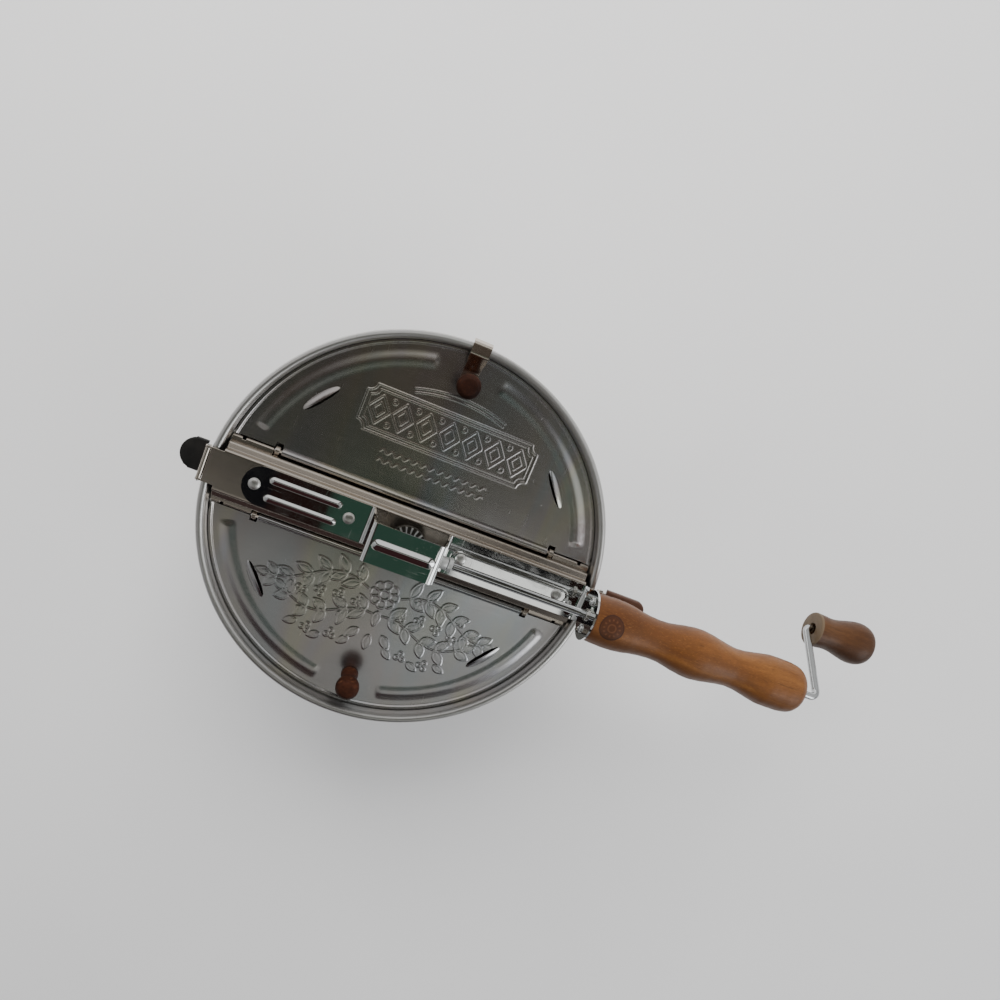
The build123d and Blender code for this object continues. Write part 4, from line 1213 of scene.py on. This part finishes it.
S0, S1 = 4.8, 51.3
kp = [(12.0, S0 + 0.8), (11.7, S0 + 6), (11.2, S0 + 12), (11.7, S0 + 18), (13.3, S0 + 25), (14.7, S0 + 32), (14.6, S0 + 38), (12.6, S0 + 43), (9.0, S1 - 0.7)]
ks = smooth_profile(kp, per=7)
kprof = [(2.56, S0 + 4.4), (3.9, S0 + 3.5), (4.0, S0 + 0.5), (4.3, S0 + 0.05), (11.0, S0), (11.7, S0 + 0.25)] + [(float(a), float(b)) for a, b in ks]
kprof += [(7.4, S1 - 0.1), (6.2, S1), (5.65, S1 - 0.5), (5.6, S1 - 11.0), (2.56, S1 - 11.0)]
v, f = closed_lathe(kprof, n=112, origin=tuple(P2), axis=tuple(un))
o = new_object("crank_grip_wood", v, f, MATS["grip"], "crank_grip", "honey_wood", ["crank_knob"], sharp=45)
fix_normals(o)

# --------------------------------------------------------------- lid knobs --

for tag, y, zb in (("a", 102.0, 133.9), ("b", -102.0, 133.0)):
    kp = [(5.6, 1.2), (4.6, 5.5), (5.0, 10.5), (6.9, 15.5), (7.5, 19.0), (7.0, 22.4), (5.4, 24.2)]
    ks = smooth_profile(kp, per=7)
    p = [(0, 0.0), (5.1, 0.0), (5.45, 0.4)] + [(float(a), float(b)) for a, b in ks]
    for k in range(1, 7):
        a = math.pi / 2 * k / 6
        p.append((5.4 * math.cos(a), 24.2 + 0.85 * math.sin(a)))
    p[-1] = (0, 25.05)
    v, f = lathe(p, n=72, origin=(0, y, zb))
    o = new_object(f"lid_{tag}_knob_wood", v, f, MATS["knob"], "half_lid_" + tag, "dark_wood", [f"lid_knob_{tag}"], sharp=45)
    fix_normals(o)

# lid clip
czc = 133.45
cpath = fillet_path([(95.5, czc), (110.0, czc), (120.4, 143.7), (127.7, 143.7), (129.2, 139.4)], [3.0, 3.0, 1.6], seg=7, step=0.6)
hw = 5.8
st = list(np.linspace(-hw, hw, 25))


def clip_width(i, p):
    d = p[0] - 95.5
    if d < 5.8:
        return max(0.05, math.sqrt(max(0.0, 5.8 ** 2 - (5.8 - d) ** 2)) / 5.8)
    if p[0] < 118:
        return 1.0 - 0.12 * float(sstep(101, 108, p[0])) + 0.12 * float(sstep(112, 119, p[0]))
    return 1.0


def clip_lift(y, z, s, i):
    # pressed dimple behind the knob
    d = math.hypot(s, y - 113.2)
    return -0.45 * max(0.0, 1 - (d / 1.7) ** 2)


v, f = sheet_along(cpath, st, lambda a, b, s: (s, a, b), 0.9, width=clip_width, lift=clip_lift)
o = new_object("lid_spring_clip", v, f, MATS["clip"], "half_lid_a", "tinned_steel", ["lid_clip"], sharp=40)
fix_normals(o)
bevel(o, 0.2, 2, 60)

# -------------------------------------------------------------- stir wires --

SWR = 1.6
A = [(13.5, 0, 9.0), (21.0, 0, 3.3), (56.0, -7.0, 3.3), (86.0, -30.0, 3.3), (92.5, -38.0, 13.0)]
B = [(-x, -y, z) for x, y, z in A][::-1]
c35, s35 = math.cos(math.radians(35)), math.sin(math.radians(35))
pp = fillet_path(B + A, [4.0, 26.0, 5.0, 5.0, 5.0, 5.0, 26.0, 4.0], seg=8, step=6.0)
pp = [(p[0] * c35 - p[1] * s35, p[0] * s35 + p[1] * c35, p[2]) for p in pp]
v, f = tube(pp, SWR, n=20)
new_object("stir_wire_bent", v, f, MATS["wire"], "stirrer", "wire_steel", ["stir_wire"], sharp=50)

# ---------------------------------------------- remaining CAD nodes: finish --

FINISH = {"shaft_bush": "zinc", "latch_pin": "wire", "lever_pin": "wire", "pinion": "zinc", "pinion_pin": "wire", "knob_retainer": "wire",
          "stir_shaft": "wire", "crown_gear": "gear", "gear_pin": "wire", "shaft_washer": "wire", "shaft_clip": "wire", "wire_hub": "zinc",
          "hub_screw": "wire", "knob_screw_a": "wire", "knob_screw_b": "wire", "latch_plate": "bar", "latch_tab": "vinyl",
          "lever_plate": "bar", "lever_grip": "brown"}
for n, k in FINISH.items():
    o = NODES[n]
    o.data.materials.clear()
    o.data.materials.append(MATS[k])
for n, o in NODES.items():
    if n not in FINISH and not o.hide_render:
        o.data.materials.clear()
        o.data.materials.append(MATS["wire"])

# ------------------------------------------------------------------- stage --


def stage_plane(name, centre, sx, sy, normal, mat, up=(0, 1, 0)):
    n = Vector(normal).normalized()
    u = Vector(up)
    x = u.cross(n).normalized()
    y = n.cross(x)
    c = Vector(centre)
    vs = [c - x * sx / 2 - y * sy / 2, c + x * sx / 2 - y * sy / 2, c + x * sx / 2 + y * sy / 2, c - x * sx / 2 + y * sy / 2]
    me = bpy.data.meshes.new(name)
    me.from_pydata([tuple(v) for v in vs], [], [(0, 1, 2, 3)])
    o = bpy.data.objects.new(name, me)
    COLL.objects.link(o)
    me.materials.append(mat)
    return o


def floor_mat():
    M = Mat("floor_paper")
    n = M.noise(M.coords(), 3.0, 3.0, 0.5)
    g = M.noise(M.coords(), 500.0, 4.0, 0.6)
    M.set(color=M.ramp(n, [(0.3, (0.80, 0.80, 0.81)), (0.7, (0.84, 0.84, 0.845))]), rough=0.75, spec=0.2)
    M.bump(g, 0.1, 0.05)
    return M.m


def emit(name, col, s=1.0):
    m = bpy.data.materials.new(name)
    m.use_nodes = True
    nt = m.node_tree
    nt.nodes.clear()
    e = nt.nodes.new("ShaderNodeEmission")
    e.inputs[0].default_value = (*col, 1)
    e.inputs[1].default_value = s
    out = nt.nodes.new("ShaderNodeOutputMaterial")
    nt.links.new(e.outputs[0], out.inputs[0])
    return m


def card_only_glossy(o):
    o.visible_camera = False
    o.visible_diffuse = False
    o.visible_shadow = False
    o.visible_transmission = False
    o.visible_volume_scatter = False
    return o


floor = stage_plane("floor", (0.1, 0, 0), 6, 6, (0, 0, 1), floor_mat())

# pale backdrop all round, seen by the camera alone
bv, bf = [], []
NB, RB, HB = 96, 2.85, 5.0
for k in range(NB):
    a = 2 * math.pi * k / NB
    bv += [(RB * math.cos(a), RB * math.sin(a), -0.01), (RB * math.cos(a), RB * math.sin(a), HB)]
for k in range(NB):
    k1 = (k + 1) % NB
    bf.append((2 * k, 2 * k + 1, 2 * k1 + 1, 2 * k1))
bme = bpy.data.meshes.new("backdrop")
bme.from_pydata(bv, [], bf)
backdrop = bpy.data.objects.new("backdrop", bme)
COLL.objects.link(backdrop)
bme.shade_smooth()
bme.materials.append(emit("backdrop_paper", (0.60, 0.60, 0.605), 1.0))
backdrop.visible_diffuse = False
backdrop.visible_glossy = False
backdrop.visible_shadow = False
backdrop.visible_transmission = False
backdrop.visible_volume_scatter = False

# reflection cards over the part: seen only in the metal
ZB = 0.90
CARDS = [
    # name, x0, x1, y0, y1, z, colour, strength
    ("card_dark", -0.62, 0.045, -0.262, -0.02, ZB + 0.06, (0.047, 0.056, 0.046), 1.0),
    ("card_dark_m", 0.045, 0.160, -0.262, -0.02, ZB + 0.06, (0.130, 0.134, 0.112), 1.0),
    ("card_dark_top", -0.62, 0.160, -0.02, 0.16, ZB + 0.06, (0.060, 0.047, 0.039), 1.0),
    ("card_dark_far", -0.62, 0.200, 0.16, 0.36, ZB + 0.06, (0.170, 0.158, 0.142), 1.0),
    ("card_dark_r", 0.160, 0.450, -0.2075, -0.150, ZB + 0.06, (0.008, 0.008, 0.008), 1.0),
    ("card_white_r", 0.172, 0.372, -0.290, -0.2075, ZB + 0.06, (1.10, 1.10, 1.07), 1.0),
    ("card_dark_rr", 0.372, 0.450, -0.290, -0.2075, ZB + 0.06, (0.015, 0.015, 0.015), 1.0),
    ("card_lid_r", 0.160, 0.300, -0.150, 0.16, ZB + 0.06, (0.095, 0.096, 0.078), 1.0),
    ("card_lid_rr", 0.300, 0.420, -0.150, 0.16, ZB + 0.06, (0.125, 0.118, 0.096), 1.0),
    ("card_right_far", 0.200, 0.460, 0.16, 1.90, ZB + 0.06, (0.040, 0.038, 0.034), 1.0),
    ("card_green", -0.075, 0.155, -0.262, -0.150, ZB, (0.027, 0.060, 0.043), 1.0),
    ("card_maroon", -0.170, -0.060, -0.262, -0.160, ZB - 0.002, (0.016, 0.008, 0.007), 1.0),
    ("card_black", -0.225, -0.150, -0.262, -0.140, ZB - 0.004, (0.006, 0.006, 0.007), 1.0),
    ("card_bar_l", -0.40, -0.225, -0.262, -0.140, ZB - 0.004, (0.105, 0.095, 0.085), 1.0),
    ("card_maroon_low", -0.45, 0.200, -2.60, -0.60, ZB - 0.002, (0.036, 0.015, 0.016), 1.0),
    ("card_black_low", 0.200, 0.50, -2.60, -0.60, ZB - 0.002, (0.020, 0.018, 0.018), 1.0),
    ("card_grey_low", -0.40, 0.08, -0.56, -0.262, ZB + 0.02, (0.33, 0.33, 0.31), 1.0),
    ("card_grey_low_r", 0.08, 0.40, -0.56, -0.290, ZB + 0.02, (0.44, 0.45, 0.42), 1.0),
]
for name, x0, x1, y0, y1, z, colr, st_ in CARDS:
    o = stage_plane(name, ((x0 + x1) / 2, (y0 + y1) / 2, z), x1 - x0, y1 - y0, (0, 0, -1), emit(name, colr, st_))
    card_only_glossy(o)

world = bpy.data.worlds.new("studio")
bpy.context.scene.world = world
world.use_nodes = True
wt = world.node_tree
bg = wt.nodes["Background"]
tc = wt.nodes.new("ShaderNodeTexCoord")
sp = wt.nodes.new("ShaderNodeSeparateXYZ")
wt.links.new(tc.outputs["Generated"], sp.inputs[0])
def wramp(src, stops):
    r = wt.nodes.new("ShaderNodeValToRGB")
    while len(r.color_ramp.elements) < len(stops):
        r.color_ramp.elements.new(0.5)
    for e, (p, c) in zip(r.color_ramp.elements, stops):
        e.position = p
        e.color = (*c, 1)
    wt.links.new(src, r.inputs[0])
    return r.outputs[0]


def wmap(src, a, b):
    m = wt.nodes.new("ShaderNodeMapRange")
    m.inputs["From Min"].default_value = a
    m.inputs["From Max"].default_value = b
    wt.links.new(src, m.inputs["Value"])
    return m.outputs["Result"]


cz_ = wramp(wmap(sp.outputs["Z"], -0.2, 1.0), [(0.0, (0.42, 0.42, 0.43)), (0.35, (0.78, 0.78, 0.78)), (1.0, (1.0, 1.0, 1.0))])
cy_w = wramp(wmap(sp.outputs["Y"], -1.0, 1.0), [(0.0, (0.22, 0.22, 0.23)), (0.38, (0.55, 0.55, 0.55)), (0.62, (1.0, 1.0, 1.0)), (1.0, (1.1, 1.1, 1.08))])
mx = wt.nodes.new("ShaderNodeMix")
mx.data_type = "RGBA"
mx.blend_type = "MULTIPLY"
mx.inputs[0].default_value = 1.0
wt.links.new(cz_, mx.inputs[6])
wt.links.new(cy_w, mx.inputs[7])
wt.links.new(mx.outputs[2], bg.inputs[0])
bg.inputs[1].default_value = 0.85


def area(name, loc, target, size, power, col=(1, 1, 1)):
    d = bpy.data.lights.new(name, "AREA")
    d.shape = "RECTANGLE"
    d.size, d.size_y = size
    d.energy = power
    d.color = col
    o = bpy.data.objects.new(name, d)
    COLL.objects.link(o)
    o.location = loc
    o.rotation_mode = "QUATERNION"
    o.rotation_quaternion = (Vector(target) - Vector(loc)).to_track_quat("-Z", "Y")
    return o


key = area("key", (-0.35, 1.15, 1.05), (0.05, 0, 0.1), (1.3, 0.9), 34.0, (1.0, 0.985, 0.96))
key.visible_glossy = False
area("fill", (1.3, -0.5, 1.1), (0.1, 0, 0.1), (0.9, 0.9), 7.0, (0.96, 0.98, 1.0))
